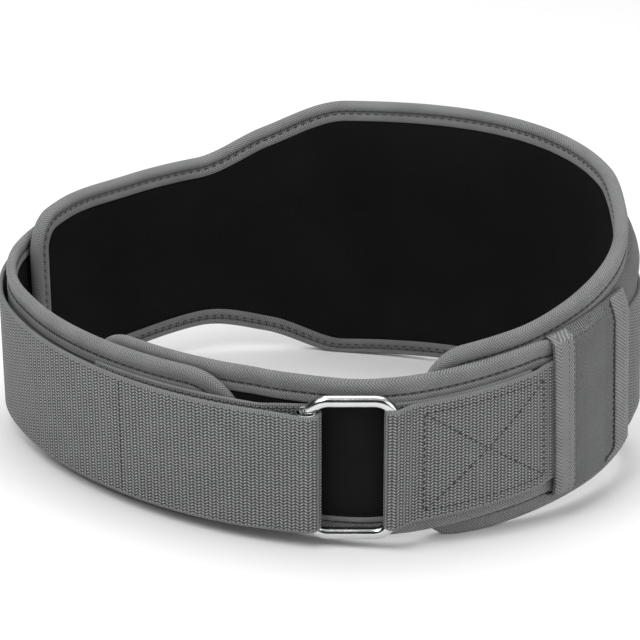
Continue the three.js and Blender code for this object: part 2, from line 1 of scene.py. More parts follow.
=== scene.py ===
import bmesh
import bpy
import numpy as np
from mathutils import Matrix, Vector


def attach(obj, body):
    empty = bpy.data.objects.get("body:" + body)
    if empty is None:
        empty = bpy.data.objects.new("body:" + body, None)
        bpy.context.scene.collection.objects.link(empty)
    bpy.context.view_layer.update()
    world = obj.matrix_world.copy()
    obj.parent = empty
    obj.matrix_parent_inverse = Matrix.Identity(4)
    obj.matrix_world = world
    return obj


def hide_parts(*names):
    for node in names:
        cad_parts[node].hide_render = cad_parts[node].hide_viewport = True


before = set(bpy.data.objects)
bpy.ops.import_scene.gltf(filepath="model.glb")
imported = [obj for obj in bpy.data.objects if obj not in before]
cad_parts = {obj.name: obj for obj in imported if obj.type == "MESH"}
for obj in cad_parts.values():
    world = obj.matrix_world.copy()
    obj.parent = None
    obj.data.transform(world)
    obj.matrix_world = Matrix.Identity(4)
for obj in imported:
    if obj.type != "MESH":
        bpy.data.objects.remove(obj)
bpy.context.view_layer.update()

metre = 0.001  # every size below is in millimetres

# Plan of the closed belt, along the middle of the back panel's padding. A quarter is its share of
# the width, its share of the depth, and how square it is (2 is an ellipse).
plan = {
    "width": 300.5, "depth": 244.6, "softening": 15.0, "step": 0.75, "middleOfBack": 0.159,
    "backRight": (0.488, 0.52, 2.46), "backLeft": (0.512, 0.52, 1.92),
    "frontLeft": (0.512, 0.48, 1.7), "frontRight": (0.488, 0.48, 1.7),
}


# Points of a closed line at equal lengths along it, by interpolation on the summed lengths.
def spacedEvenly(points, count):
    closed = np.vstack([points, points[:1]])
    along = np.concatenate([[0], np.cumsum(np.linalg.norm(np.diff(closed, axis=0), axis=1))])
    want = np.arange(count) * along[-1] / count
    even = [np.interp(want, along, closed[:, k]) for k in range(closed.shape[1])]
    return np.stack(even, axis=1), along[-1]


# Superellipse quarters (each cosine and sine raised to 2 over the squareness), evened out by a
# running mean over the softening length.
def planCurve():
    angle = np.linspace(0, 2 * np.pi, 2880, endpoint=False)
    right, back = np.cos(angle) > 0, np.sin(angle) >= 0
    names = np.where(back, np.where(right, "backRight", "backLeft"),
                     np.where(right, "frontRight", "frontLeft"))
    wide, deep, square = np.array([plan[name] for name in names]).T
    power = lambda value: np.sign(value) * np.abs(value) ** (2 / square)
    x = plan["width"] * wide * power(np.cos(angle))
    y = plan["depth"] * deep * power(np.sin(angle))
    rough, total = spacedEvenly(np.stack([x, y], axis=1), 2880)
    even, _ = spacedEvenly(rough, round(total / plan["step"]))
    reach = round(plan["softening"] / plan["step"])
    mean = sum(np.roll(even, shift, axis=0) for shift in range(-reach, reach + 1)) / (2 * reach + 1)
    return spacedEvenly(mean, len(even))


planPoints, girth = planCurve()
planTangents = np.roll(planPoints, -1, axis=0) - np.roll(planPoints, 1, axis=0)
planNormals = np.stack([planTangents[:, 1], -planTangents[:, 0]], axis=1)
planNormals /= np.linalg.norm(planNormals, axis=1, keepdims=True)


# Plan point at the arc length from the lumbar middle, moved outwards along the normal.
def onPlan(along, out):
    count = len(planPoints)
    place = ((np.asarray(along, float) / girth + plan["middleOfBack"]) % 1.0) * count
    first = np.floor(place).astype(int) % count
    share = (place - np.floor(place))[..., None]
    second = (first + 1) % count
    point = planPoints[first] * (1 - share) + planPoints[second] * share
    normal = planNormals[first] * (1 - share) + planNormals[second] * share
    normal /= np.linalg.norm(normal, axis=-1, keepdims=True)
    return point + normal * np.broadcast_to(out, place.shape)[..., None]


# The same place with its height above the belt's middle.
def wrap(along, out, z):
    along, out, z = np.broadcast_arrays(along, out, z)
    point = onPlan(along, out)
    return np.concatenate([point, np.asarray(z, float)[..., None]], axis=-1)


# Smooth value from a table: a cubic through its rows, with harmonic mean slopes.
def tableCurve(rows, at, column=1):
    rows = np.array(rows, float)
    x, y = rows[:, 0], rows[:, column]
    chord = np.diff(y) / np.diff(x)
    both = np.concatenate([chord[:1], chord]), np.concatenate([chord, chord[-1:]])
    same = both[0] * both[1] > 0
    slope = np.where(same, 2 * both[0] * both[1] / np.where(same, both[0] + both[1], 1), 0)
    value = np.clip(at, x[0], x[-1])
    k = np.clip(np.searchsorted(x, value, side="right") - 1, 0, len(x) - 2)
    span = x[k + 1] - x[k]
    t = (value - x[k]) / span
    a = slope[k] * span - (y[k + 1] - y[k])
    b = (y[k + 1] - y[k]) - slope[k + 1] * span
    return y[k] + t * (y[k + 1] - y[k]) + t * (1 - t) * (a * (1 - t) + b * t)


# Cubic step from 0 at one value to 1 at the other: 3t squared less 2t cubed.
def smoothShare(value, low, high):
    t = np.clip((value - low) / (high - low), 0, 1)
    return t * t * (3 - 2 * t)


# Sizes that the panels, the strap and the sleeves share
belt = {
    "lumbarHeight": 152.0, "sideHeight": 103.0, "frontHeight": 83.0,
    "leftReach": 278.0, "rightReach": 291.0,
    "backThickness": 7.2, "frontThickness": 5.2, "gap": 0.3,
    # end of a panel pressed under the right sleeve: its share of the thickness, and where it starts
    "thinShare": 0.74, "backThinFrom": 0.4, "tabThinFrom": 10.0,
    "wingOverlap": 38.0, "wingToRing": 26.8, "tabReach": 174.0, "tabOverlap": 75.0,
    "tabRise": 2.2, "tabDip": 8.0, "tabHidden": 9.0,
    "ringToMouth": 104.1, "sleeveStart": 165.5, "sleeveLength": 58.5,
}
strap = {
    "height": 63.5, "thickness": 2.0, "foldedReach": 104.0, "sewnReach": 71.0,
    "frontSlack": 9.0, "foldSlack": 1.2, "foldRise": 2.6, "sideSwell": 5.6,
    # drawn in by this much at the roller, which lies within the strap's first stretch
    "neck": 1.9, "neckReach": 22.0, "firstStretch": 140.0,
    # shares of the sleeve's length where the strap climbs on the tab's end
    "climbFrom": 0.35, "climbLength": 0.3,
    "nearRoller": 18.0, "pastWing": 5.0, "pastBar": 9.0, "step": 1.4, "smoothing": 3,
}
ring = {
    "width": 46.6, "height": 77.6, "wire": 6.0, "corner": 12.5,
    "rollerOuter": 10.4, "rollerWall": 0.8, "rollerLength": 60.8, "rollerPlay": 0.4,
    "lip": 0.25, "sides": 32, "rollerSides": 48,
}
# Edge of the back panel: share of the reach, rise of the top edge, drop of the bottom edge
contour = [
    (-1.0, -0.02, 0.0), (-0.82, 0.0, 0.06), (-0.71, 0.12, 0.05), (-0.565, 0.38, 0.08),
    (-0.43, 0.72, 0.55), (-0.315, 1.0, 1.0), (0.0, 1.0, 0.98), (0.28, 1.0, 1.0),
    (0.44, 0.44, 0.34), (0.575, -0.08, -0.04), (0.72, -0.08, 0.02), (0.88, 0.03, 0.02),
    (1.0, 0.0, 0.0),
]


# Half height of the back panel: that of its sides, plus the contour's share of the rise.
def backEdge(column):
    def edge(along):
        along = np.asarray(along, float)
        rise = (belt["lumbarHeight"] - belt["sideHeight"]) / 2
        share = along / np.where(along < 0, belt["rightReach"], belt["leftReach"])
        return belt["sideHeight"] / 2 + rise * tableCurve(contour, share, column)
    return edge


# Half height of the wing and the tab, the same all along.
def frontEdge(along):
    return np.full(np.shape(along), belt["frontHeight"] / 2)


backTip = girth - belt["rightReach"]
wingStart = belt["leftReach"] - belt["wingOverlap"]
sleeveFar = belt["sleeveStart"] + belt["sleeveLength"]
sleeveMouth = girth - sleeveFar
ringPlace = sleeveMouth - belt["ringToMouth"]
leftBar = ringPlace - (ring["width"] - ring["wire"]) / 2
rightBar = ringPlace + (ring["width"] - ring["wire"]) / 2
wingEnd = leftBar - belt["wingToRing"]
wingReach = wingEnd - belt["leftReach"]
tabStart = backTip - belt["tabReach"]
tabEnd = backTip + belt["tabOverlap"]


# Straight fall from full thickness to the pressed share between two places.
def thinned(along, low, high):
    return 1 - (1 - belt["thinShare"]) * np.clip((along - low) / (high - low), 0, 1)


# Half thickness of each panel. The back and the tab thin out towards each other's ends.
def backHalf(along):
    low = belt["sleeveStart"] + belt["backThinFrom"] * belt["sleeveLength"]
    return belt["backThickness"] / 2 * thinned(-np.asarray(along, float), low, sleeveFar)


def tabHalf(along):
    low = backTip + belt["tabThinFrom"]
    return belt["frontThickness"] / 2 * thinned(np.asarray(along, float), low, sleeveMouth)


def wingHalf(along):
    return np.full(np.shape(along), belt["frontThickness"] / 2)


gap = belt["gap"]
overBackEnd = belt["backThickness"] / 2 + gap + belt["frontThickness"] / 2
# Place along the belt and distance outwards of the wing's middle surface
wingPath = [
    (wingStart, overBackEnd + gap), (belt["leftReach"] + 4 * gap, overBackEnd + 2 * gap),
    (belt["leftReach"] + 0.16 * wingReach, overBackEnd * 0.66),
    (belt["leftReach"] + 0.33 * wingReach, overBackEnd * 0.24),
    (wingEnd, overBackEnd * 0.18),
]


# Distance outwards of the wing's middle surface, by its table.
def wingOut(along):
    return tableCurve(wingPath, np.asarray(along, float))


# The tab starts inside the wing (depth 1) and ends outside the back panel's tip (depth 0)
tabPath = [(-1.0, 1.1), (-0.36, 1.03), (0.0, 1.0), (0.15, 0.87), (0.3, 0.75), (0.42, 0.6),
           (0.7, 0.14), (0.91, 0.0)]


# The same of the tab: between just inside the wing and just outside the back, by the depth.
def tabOut(along):
    along = np.asarray(along, float)
    past = np.maximum(along, backTip)
    outside = backHalf(past - girth) + gap + tabHalf(along)
    inside = wingOut(wingEnd) - belt["frontThickness"] - 2 * gap
    depth = tableCurve(tabPath, (along - wingEnd) / (backTip - wingEnd))
    return outside + (inside - outside) * depth


# The tab's top edge is a little higher in front, and comes down at the sleeve's mouth.
def tabTop(along):
    dip = belt["tabDip"]
    down = smoothShare(np.asarray(along, float), sleeveMouth - dip, sleeveMouth + dip)
    return belt["frontHeight"] / 2 + belt["tabRise"] * (1 - down)


print("plan and panels: girth %.1f mm" % girth)

halfStrap = strap["thickness"] / 2


# Middle of a strap layer that lies on the tab, and of one that lies on the wing.
def overTab(along):
    return tabOut(along) + tabHalf(along) + gap + halfStrap


def strapOverWing(along):
    return wingOut(np.minimum(along, wingEnd)) + belt["frontThickness"] / 2 + gap + halfStrap


# Swell of the padding under the strap at the wearer's right side, as shares of the most
padSwell = [(-sleeveFar, 0.0), (-belt["sleeveStart"], 0.57), (-0.78 * belt["sleeveStart"], 1.0),
            (-0.45 * belt["sleeveStart"], 0.3), (0.0, 0.0)]
# How far the strap stands off the wing on its way to the ring, as shares of the slack at its tip
frontLift = [(wingStart, 0.05), (belt["leftReach"], 0.12),
             (belt["leftReach"] + 0.14 * wingReach, 0.2),
             (belt["leftReach"] + 0.295 * wingReach, 0.4),
             (belt["leftReach"] + 0.61 * wingReach, 0.61),
             (belt["leftReach"] + 0.86 * wingReach, 0.88), (wingEnd, 1.0)]


# The most that the padding swells at a place along the belt.
def swellAt(along):
    return strap["sideSwell"] * tableCurve(padSwell, along)


# Share, start and end of each step of the swell, as depths inside the outline
swellSteps = [(0.6, 10.4, 14.4), (0.4, 13.0, 23.0)]


# Share of the swell at a depth inside the outline: the sum of its steps, quick beside the tape.
def swellShare(inset):
    return sum(share * smoothShare(inset, low, high) for share, low, high in swellSteps)


# Middle of the strap where it lies on the swollen back panel.
def strapOverBack(along):
    return backHalf(along) + swellAt(along) + gap + halfStrap


# Extra height of the strap inside the right sleeve, where it rides over the tab's end.
def underSleeve(along):
    share = np.clip((-along - belt["sleeveStart"] - strap["climbFrom"] * belt["sleeveLength"])
                    / (strap["climbLength"] * belt["sleeveLength"]), 0, 1)
    return share * (2 * tabHalf(tabEnd) + gap)


# Middle of the strap's outer layer, and of its end folded back inside.
def outerOut(along):
    return strapOverWing(along) + strap["frontSlack"] * tableCurve(frontLift, along)


def innerOut(along):
    share = np.clip((along - leftBar + strap["foldedReach"]) / strap["foldedReach"], 0, 1)
    return strapOverWing(along) + strap["foldSlack"] + strap["foldRise"] * share ** 2


# Right of the ring the strap lies on its own sewn end, and comes down to the tab past it.
def outerFront(along):
    past = smoothShare(along, rightBar + strap["sewnReach"], sleeveMouth)
    return overTab(along) + (1 - past) * (strap["thickness"] + gap)


ringOut = float(overTab(rightBar)) + halfStrap + gap + ring["wire"] / 2
rightBarPlace = onPlan(rightBar, ringOut)
leftBarPlace = rightBarPlace - np.array([ring["width"] - ring["wire"], 0.0])
boreSlack = (ring["rollerOuter"] / 2 - ring["rollerWall"] - ring["wire"] / 2 - gap
             - ring["rollerPlay"])
rollerPlace = leftBarPlace - np.array([boreSlack, 0.0])


# Turn and shift from the belt's own upright frame to the frame on the floor. The roller is
# upright in the belt, so its longest direction gives the turn and its middle the shift.
def restingPlace():
    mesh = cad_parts["roller"].data
    corners = np.zeros(len(mesh.vertices) * 3)
    mesh.vertices.foreach_get("co", corners)
    corners = np.unique(np.round(corners.reshape(-1, 3) / metre, 3), axis=0)
    middle = corners.mean(axis=0)
    axis = np.linalg.svd(corners - middle)[2][0]
    axis *= np.sign(axis[2])
    turn = np.array(Vector((0, 0, 1)).rotation_difference(Vector(axis)).to_matrix())
    return turn, middle - turn @ np.array([rollerPlace[0], rollerPlace[1], 0.0])


beltTurn, beltShift = restingPlace()


flare = {"from": 30.0, "to": 120.0, "high": 32.0, "low": -32.0, "most": 2.7, "upTo": 1.3}
floorClearance = 0.15


# Belt frame in millimetres to the part's frame in metres, pressed flat where it rests. First the
# right side flares: x grows in a straight line with the depth below a height.
def toPart(points):
    depth = np.clip((flare["high"] - points[..., 2]) / (flare["high"] - flare["low"]), 0,
                    flare["upTo"])
    out = flare["most"] * depth * smoothShare(points[..., 0], flare["from"], flare["to"])
    points = points + out[..., None] * np.array([1.0, 0.0, 0.0])
    placed = points @ beltTurn.T + beltShift
    placed[..., 2] = np.maximum(placed[..., 2], floorClearance)
    return placed * metre


# Camera at the photo's angle to the belt, worked out in the belt's own frame
view = {"lens": 164.475, "sensor": 36.0, "distance": 1499.7, "tilt": 28.0, "x": -3.38, "y": 21.89}


# Camera axes: to the right, up across the view, and back along it, turned as the belt is.
def addCamera():
    tilt = np.radians(view["tilt"])
    target = np.array([view["x"], view["y"], 0.0])
    back = np.array([0.0, -np.cos(tilt), np.sin(tilt)])
    right = np.array([1.0, 0.0, 0.0])
    axes = beltTurn @ np.stack([right, np.cross(back, right), back], axis=1)
    place = (beltTurn @ (target + view["distance"] * back) + beltShift) * metre
    data = bpy.data.cameras.new("photoCamera")
    data.lens = view["lens"]
    data.sensor_width = view["sensor"]
    data.clip_end = 20.0
    camera = bpy.data.objects.new("photoCamera", data)
    camera.matrix_world = Matrix.Translation(place) @ Matrix(axes.tolist()).to_4x4()
    bpy.context.scene.collection.objects.link(camera)
    bpy.context.scene.camera = camera


addCamera()

studio = {
    "floorSize": 6.0, "floorColour": (0.86, 0.86, 0.86), "floorRoughness": 0.9,
    "world": 0.62, "aim": (0.0, 0.0, 0.07),
    # lowest and highest direction of the dark wall, and how soft its edges are
    "darkWall": (0.08, 0.72, 0.08), "darkStrength": 0.03,
    # name, place in metres, size, watts
    "lights": [
        ("keyLight", (-0.9, -1.1, 1.7), 1.1, 26.0),
        ("fillLight", (1.5, -0.9, 0.9), 1.3, 9.0),
        ("topLight", (0.1, 0.5, 1.9), 1.6, 16.0),
    ],
}


# The wall behind the lights is dark, from just over the floor to half way up. Only what shines
# shows it: the world's strength falls there by the height of the direction looked in.
def darkSide(tree, socket):
    low, high, soft = studio["darkWall"]
    parts = tree.nodes.new("ShaderNodeSeparateXYZ")
    tree.links.new(tree.nodes.new("ShaderNodeTexCoord").outputs["Generated"], parts.inputs[0])
    shares = []
    for start, end in ((low - soft, low + soft), (high + soft, high - soft)):
        step = tree.nodes.new("ShaderNodeMapRange")
        step.interpolation_type = "SMOOTHSTEP"
        step.inputs["From Min"].default_value = start
        step.inputs["From Max"].default_value = end
        tree.links.new(parts.outputs["Z"], step.inputs["Value"])
        shares.append(step.outputs[0])
    shares.append(tree.nodes.new("ShaderNodeLightPath").outputs["Is Glossy Ray"])
    share = shares[0]
    for other in shares[1:]:
        product = tree.nodes.new("ShaderNodeMath")
        product.operation = "MULTIPLY"
        tree.links.new(share, product.inputs[0])
        tree.links.new(other, product.inputs[1])
        share = product.outputs[0]
    strength = tree.nodes.new("ShaderNodeMapRange")
    strength.inputs["To Min"].default_value = studio["world"]
    strength.inputs["To Max"].default_value = studio["darkStrength"]
    tree.links.new(share, strength.inputs["Value"])
    tree.links.new(strength.outputs[0], socket)


# Flat pale floor, three area lights aimed at the belt, and the world.
def addStudio():
    size = studio["floorSize"] / 2
    mesh = bpy.data.meshes.new("floor")
    mesh.from_pydata([(-size, -size, 0), (size, -size, 0), (size, size, 0), (-size, size, 0)],
                     [], [(0, 1, 2, 3)])
    floor = bpy.data.objects.new("floor", mesh)
    bpy.context.scene.collection.objects.link(floor)
    material = bpy.data.materials.new("paleFloor")
    material.use_nodes = True
    shader = material.node_tree.nodes["Principled BSDF"]
    shader.inputs["Base Color"].default_value = (*studio["floorColour"], 1)
    shader.inputs["Roughness"].default_value = studio["floorRoughness"]
    mesh.materials.append(material)
    for name, place, width, watts in studio["lights"]:
        data = bpy.data.lights.new(name, "AREA")
        data.size = width
        data.energy = watts
        light = bpy.data.objects.new(name, data)
        light.location = place
        aim = Vector(studio["aim"]) - Vector(place)
        light.rotation_euler = aim.to_track_quat("-Z", "Y").to_euler()
        bpy.context.scene.collection.objects.link(light)
    world = bpy.data.worlds.new("studioWorld")
    world.use_nodes = True
    background = world.node_tree.nodes["Background"]
    background.inputs["Color"].default_value = (1, 1, 1, 1)
    darkSide(world.node_tree, background.inputs["Strength"])
    bpy.context.scene.world = world
    bpy.context.scene.view_settings.view_transform = "Standard"


addStudio()
print("camera, floor and lights")


# Materials: small node graphs. Patterns read the piece's own UV map, whose unit is a millimetre.
class Graph:
    def __init__(self, name):
        self.material = bpy.data.materials.new(name)
        self.material.use_nodes = True
        self.tree = self.material.node_tree
        self.shader = self.tree.nodes["Principled BSDF"]

    def node(self, kind, **values):
        made = self.tree.nodes.new(kind)
        for key, value in values.items():
            setattr(made, key, value)
        return made

    def feed(self, socket, value):
        if isinstance(value, bpy.types.NodeSocket):
            self.tree.links.new(value, socket)
        else:
            socket.default_value = value

    def math(self, operation, *values):
        made = self.node("ShaderNodeMath", operation=operation)
        for socket, value in zip(made.inputs, values):
            self.feed(socket, value)
        return made.outputs[0]

    def noise(self, vector, scale, detail=2.0):
        made = self.node("ShaderNodeTexNoise")
        self.feed(made.inputs["Vector"], vector)
        made.inputs["Scale"].default_value = scale
        made.inputs["Detail"].default_value = detail
        return made.outputs["Fac"]

    def between(self, value, low, high, newLow=0.0, newHigh=1.0):
        made = self.node("ShaderNodeMapRange", interpolation_type="SMOOTHSTEP")
        for socket, number in zip(made.inputs, (value, low, high, newLow, newHigh)):
            self.feed(socket, number)
        return made.outputs[0]

    def shade(self, share, dark, light):
        made = self.node("ShaderNodeMix", data_type="RGBA", clamp_factor=True)
        self.feed(made.inputs["Factor"], share)
        self.feed(made.inputs["A"], (*dark, 1))
        self.feed(made.inputs["B"], (*light, 1))
        return made.outputs["Result"]

    def uv(self):
        made = self.node("ShaderNodeUVMap", uv_map="flat")
        parts = self.node("ShaderNodeSeparateXYZ")
        self.feed(parts.inputs[0], made.outputs[0])
        return made.outputs[0], parts.outputs[0], parts.outputs[1]

    def objectPlace(self):
        return self.node("ShaderNodeTexCoord").outputs["Object"]

    def finish(self, colour, height, depth, roughness, sheen=0.0, specular=0.2):
        self.feed(self.shader.inputs["Base Color"], colour)
        self.shader.inputs["Roughness"].default_value = roughness
        self.shader.inputs["Sheen Weight"].default_value = sheen
        self.shader.inputs["Sheen Roughness"].default_value = 0.5
        self.shader.inputs["Specular IOR Level"].default_value = specular
        bump = self.node("ShaderNodeBump")
        bump.inputs["Strength"].default_value = 1.0
        bump.inputs["Distance"].default_value = depth * metre
        self.feed(bump.inputs["Height"], height)
        self.feed(self.shader.inputs["Normal"], bump.outputs[0])
        return self.material


# Ridge profile: 0.5 + 0.5 cos of the phase, where one ridge is 1.
def wave(graph, phase):
    turned = graph.math("MULTIPLY", phase, 2 * np.pi)
    return graph.math("MULTIPLY_ADD", graph.math("COSINE", turned), 0.5, 0.5)


webbingLook = {
    "ribPitch": 1.66, "waveLength": 3.9, "swing": 0.36, "dark": (0.022, 0.0225, 0.023),
    "light": (0.36, 0.366, 0.364), "depth": 0.3, "floatDepth": 0.72,
    "edge": 30.4, "edgeSoft": 0.8, "edgePitch": 1.1, "edgeHeight": (0.35, 0.2),
    # unevenness: noise per millimetre and its share, in the length and in the rows
    "driftScale": 0.35, "drift": 0.5, "rowDrift": 0.25, "mottleScale": 90.0, "mottle": 0.12,
    "roughness": 0.72, "sheen": 0.05,
}


# Chevron webbing: ribs across the height, whose phase swings to and fro along the length, cut
# into floats at each turn of the swing. The selvage is a plain fine rib.
def webbingMaterial():
    look = webbingLook
    graph = Graph("chevron_webbing")
    vector, u, v = graph.uv()
    drift = graph.noise(vector, look["driftScale"])
    uLoose = graph.math("MULTIPLY_ADD", drift, look["drift"], u)
    swing = graph.math("PINGPONG", uLoose, look["waveLength"] / 2)
    swing = graph.math("MULTIPLY", swing, 2 * look["swing"] * 2 / look["waveLength"])
    row = graph.math("MULTIPLY_ADD", v, 1 / look["ribPitch"], swing)
    rib = wave(graph, graph.math("MULTIPLY_ADD", drift, look["rowDrift"], row))
    floats = wave(graph, graph.math("MULTIPLY_ADD", uLoose, 2 / look["waveLength"], 0.5))
    deep = graph.math("MULTIPLY_ADD", floats, look["floatDepth"], 1 - look["floatDepth"])
    chevron = graph.math("MULTIPLY", rib, deep)
    fine = wave(graph, graph.math("MULTIPLY", u, 1 / look["edgePitch"]))
    edge = graph.between(graph.math("ABSOLUTE", v), look["edge"], look["edge"] + look["edgeSoft"])
    inside = graph.math("MULTIPLY", chevron, graph.math("SUBTRACT", 1.0, edge))
    selvage = graph.math("MULTIPLY_ADD", fine, *look["edgeHeight"])
    height = graph.math("ADD", inside, graph.math("MULTIPLY", selvage, edge))
    mottle = graph.noise(graph.objectPlace(), look["mottleScale"], 3.0)
    share = graph.math("MULTIPLY_ADD", mottle, look["mottle"],
                       graph.math("SUBTRACT", height, look["mottle"] / 2))
    colour = graph.shade(share, look["dark"], look["light"])
    return graph.finish(colour, height, look["depth"], look["roughness"], look["sheen"])


tapeLook = {
    "pitch": 1.5, "lean": 0.9, "band": 4.2, "dark": (0.045, 0.046, 0.046),
    # the last colour on the next line is painted shade, for the stitch grooves and the needle holes
    "light": (0.30, 0.305, 0.303), "depth": 0.24, "stitchShade": (0.010, 0.010, 0.010),
    "sleevePitch": 1.9, "sleeveBand": 13.0, "driftScale": 0.4, "drift": 0.4,
    "grainScale": 1.1, "grain": 0.5, "mottleScale": 70.0, "mottle": 0.3,
    # weight of the rib in the shade, and where it starts
    "rib": (0.5, -0.15), "roughness": 0.8, "sheen": 0.12,
    # inner and outer edge of the painted shade in the groove and at a needle hole, across and along
    "groove": (0.15, 1.2), "grooveShade": 0.6, "holeAcross": (0.3, 0.62), "holeAlong": (0.42, 0.75),
}


# Herringbone tape: slanting ribs whose slant turns at each band. Along the stitch rows shade is
# painted into the colour: darker in the groove, and black at the needle holes, where shade falls.
def tapeMaterial(name, stitchRows, pitch, ribPitch, band):
    look = tapeLook
    graph = Graph(name)
    vector, u, v = graph.uv()
    drift = graph.noise(vector, look["driftScale"])
    across = graph.math("PINGPONG", v, band)
    lean = graph.math("MULTIPLY_ADD", across, look["lean"], u)
    lean = graph.math("MULTIPLY_ADD", drift, look["drift"], lean)
    rib = wave(graph, graph.math("DIVIDE", lean, ribPitch))
    mottle = graph.noise(graph.objectPlace(), look["mottleScale"], 3.0)
    grain = graph.noise(vector, look["grainScale"], 2.0)
    share = graph.math("MULTIPLY_ADD", rib, *look["rib"])
    share = graph.math("MULTIPLY_ADD", grain, look["grain"], share)
    share = graph.math("MULTIPLY_ADD", mottle, look["mottle"], share)
    colour = graph.shade(share, look["dark"], look["light"])
    shadow = None
    # painted shade: each stitch row darkens its groove and blackens its needle holes
    for row in stitchRows:
        away = graph.math("ABSOLUTE", graph.math("SUBTRACT", v, row))
        groove = graph.between(away, *look["groove"], look["grooveShade"], 0.0)
        beside = graph.between(away, *look["holeAcross"], 1.0, 0.0)
        step = graph.math("PINGPONG", u, pitch / 2)
        stitchShade = graph.math("MULTIPLY", beside, graph.between(step, *look["holeAlong"], 1.0, 0.0))
        dark = graph.math("MAXIMUM", groove, stitchShade)
        shadow = dark if shadow is None else graph.math("MAXIMUM", shadow, dark)
    if shadow is not None:
        mix = graph.node("ShaderNodeMix", data_type="RGBA")
        graph.feed(mix.inputs["Factor"], shadow)
        graph.feed(mix.inputs["A"], colour)
        graph.feed(mix.inputs["B"], (*look["stitchShade"], 1))
        colour = mix.outputs["Result"]
    return graph.finish(colour, rib, look["depth"], look["roughness"], look["sheen"])


twillLook = {
    "pitch": 1.3, "lean": 0.8, "dark": (0.014, 0.0142, 0.0144), "light": (0.20, 0.203, 0.204),
    "depth": 0.24, "threadPitch": 0.62, "threadDepth": 0.35,
    "driftScale": 0.5, "drift": 0.5, "grainScale": 1.2, "grain": 0.9, "contrast": 0.8,
    "mottleScale": 80.0, "mottle": 0.25, "roughness": 0.85, "sheen": 0.1,
}


# Fine twill: ribs that all slant one way, crossed by a faint thread line.
def twillMaterial():
    look = twillLook
    graph = Graph("fine_twill")
    vector, u, v = graph.uv()
    drift = graph.noise(vector, look["driftScale"])
    lean = graph.math("MULTIPLY_ADD", v, -look["lean"], u)
    lean = graph.math("MULTIPLY_ADD", drift, look["drift"], lean)
    rib = wave(graph, graph.math("DIVIDE", lean, look["pitch"]))
    thread = wave(graph, graph.math("DIVIDE", v, look["threadPitch"]))
    crossed = graph.math("MULTIPLY_ADD", thread, look["threadDepth"], 1 - look["threadDepth"])
    height = graph.math("MULTIPLY", rib, crossed)
    mottle = graph.noise(graph.objectPlace(), look["mottleScale"], 3.0)
    grain = graph.noise(vector, look["grainScale"], 2.0)
    share = graph.math("MULTIPLY_ADD", height, look["contrast"], -look["contrast"] / 2)
    share = graph.math("MULTIPLY_ADD", grain, look["grain"], share)
    share = graph.math("MULTIPLY_ADD", mottle, look["mottle"], share)
    return graph.finish(graph.shade(share, look["dark"], look["light"]), height, look["depth"],
                        look["roughness"], look["sheen"])


liningLook = {
    "pitch": 1.9, "dark": (0.001, 0.001, 0.001), "light": (0.0125, 0.0125, 0.0125),
    "depth": 0.16, "courseShare": 0.8, "pileScale": 2.2, "pile": 0.7, "grid": 0.4,
    "mottleScale": 25.0, "mottle": 0.5, "roughness": 0.95, "specular": 0.1,
}


# Brushed black knit: a faint grid of wales and courses under a soft pile.
def liningMaterial():
    look = liningLook
    graph = Graph("black_lining")
    vector, u, v = graph.uv()
    wales = wave(graph, graph.math("DIVIDE", u, look["pitch"]))
    courses = wave(graph, graph.math("DIVIDE", v, look["pitch"] * look["courseShare"]))
    grid = graph.math("MULTIPLY", wales, courses)
    pile = graph.noise(vector, look["pileScale"], 3.0)
    height = graph.math("MULTIPLY_ADD", pile, look["pile"],
                        graph.math("MULTIPLY", grid, look["grid"]))
    mottle = graph.noise(graph.objectPlace(), look["mottleScale"], 3.0)
    share = graph.math("MULTIPLY_ADD", mottle, look["mottle"],
                       graph.math("MULTIPLY", height, 1 - look["mottle"]))
    return graph.finish(graph.shade(share, look["dark"], look["light"]), height, look["depth"],
                        look["roughness"], specular=look["specular"])


hookLook = {"dark": (0.004, 0.004, 0.004), "light": (0.03, 0.03, 0.03), "scale": 1.6, "depth": 0.6}


# Hooks and loops pressed together: a deep dark pile.
def hookMaterial():
    graph = Graph("hook_pile")
    pile = graph.noise(graph.uv()[0], hookLook["scale"], 4.0)
    colour = graph.shade(pile, hookLook["dark"], hookLook["light"])
    return graph.finish(colour, pile, hookLook["depth"], 0.9, 0.1)


chromeLook = {
    "dark": (0.56, 0.565, 0.57), "light": (0.68, 0.685, 0.69), "roughness": (0.09, 0.2),
    "hazeScale": 220.0, "haze": (0.3, 0.75),
    "wearScale": 900.0, "wearDepth": 0.02, "wearStrength": 0.25,
}


# Polished plate with a faint haze and fine wear that changes its gloss.
def chromeMaterial():
    look = chromeLook
    graph = Graph("chrome_plate")
    place = graph.objectPlace()
    haze = graph.noise(place, look["hazeScale"], 4.0)
    graph.feed(graph.shader.inputs["Base Color"], graph.shade(haze, look["dark"], look["light"]))
    graph.shader.inputs["Metallic"].default_value = 1.0
    gloss = graph.between(haze, *look["haze"], *look["roughness"])
    graph.feed(graph.shader.inputs["Roughness"], gloss)
    bump = graph.node("ShaderNodeBump")
    bump.inputs["Strength"].default_value = look["wearStrength"]
    bump.inputs["Distance"].default_value = look["wearDepth"] * metre
    graph.feed(bump.inputs["Height"], graph.noise(place, look["wearScale"], 2.0))
    graph.feed(graph.shader.inputs["Normal"], bump.outputs[0])
    return graph.material


# Twisted thread: fine slanting ribs.
def threadMaterial(name, dark, light, twistPitch=0.5):
    graph = Graph(name)
    _, u, v = graph.uv()
    twist = wave(graph, graph.math("DIVIDE", graph.math("ADD", u, v), twistPitch))
    return graph.finish(graph.shade(twist, dark, light), twist, 0.05, 0.7, 0.1)


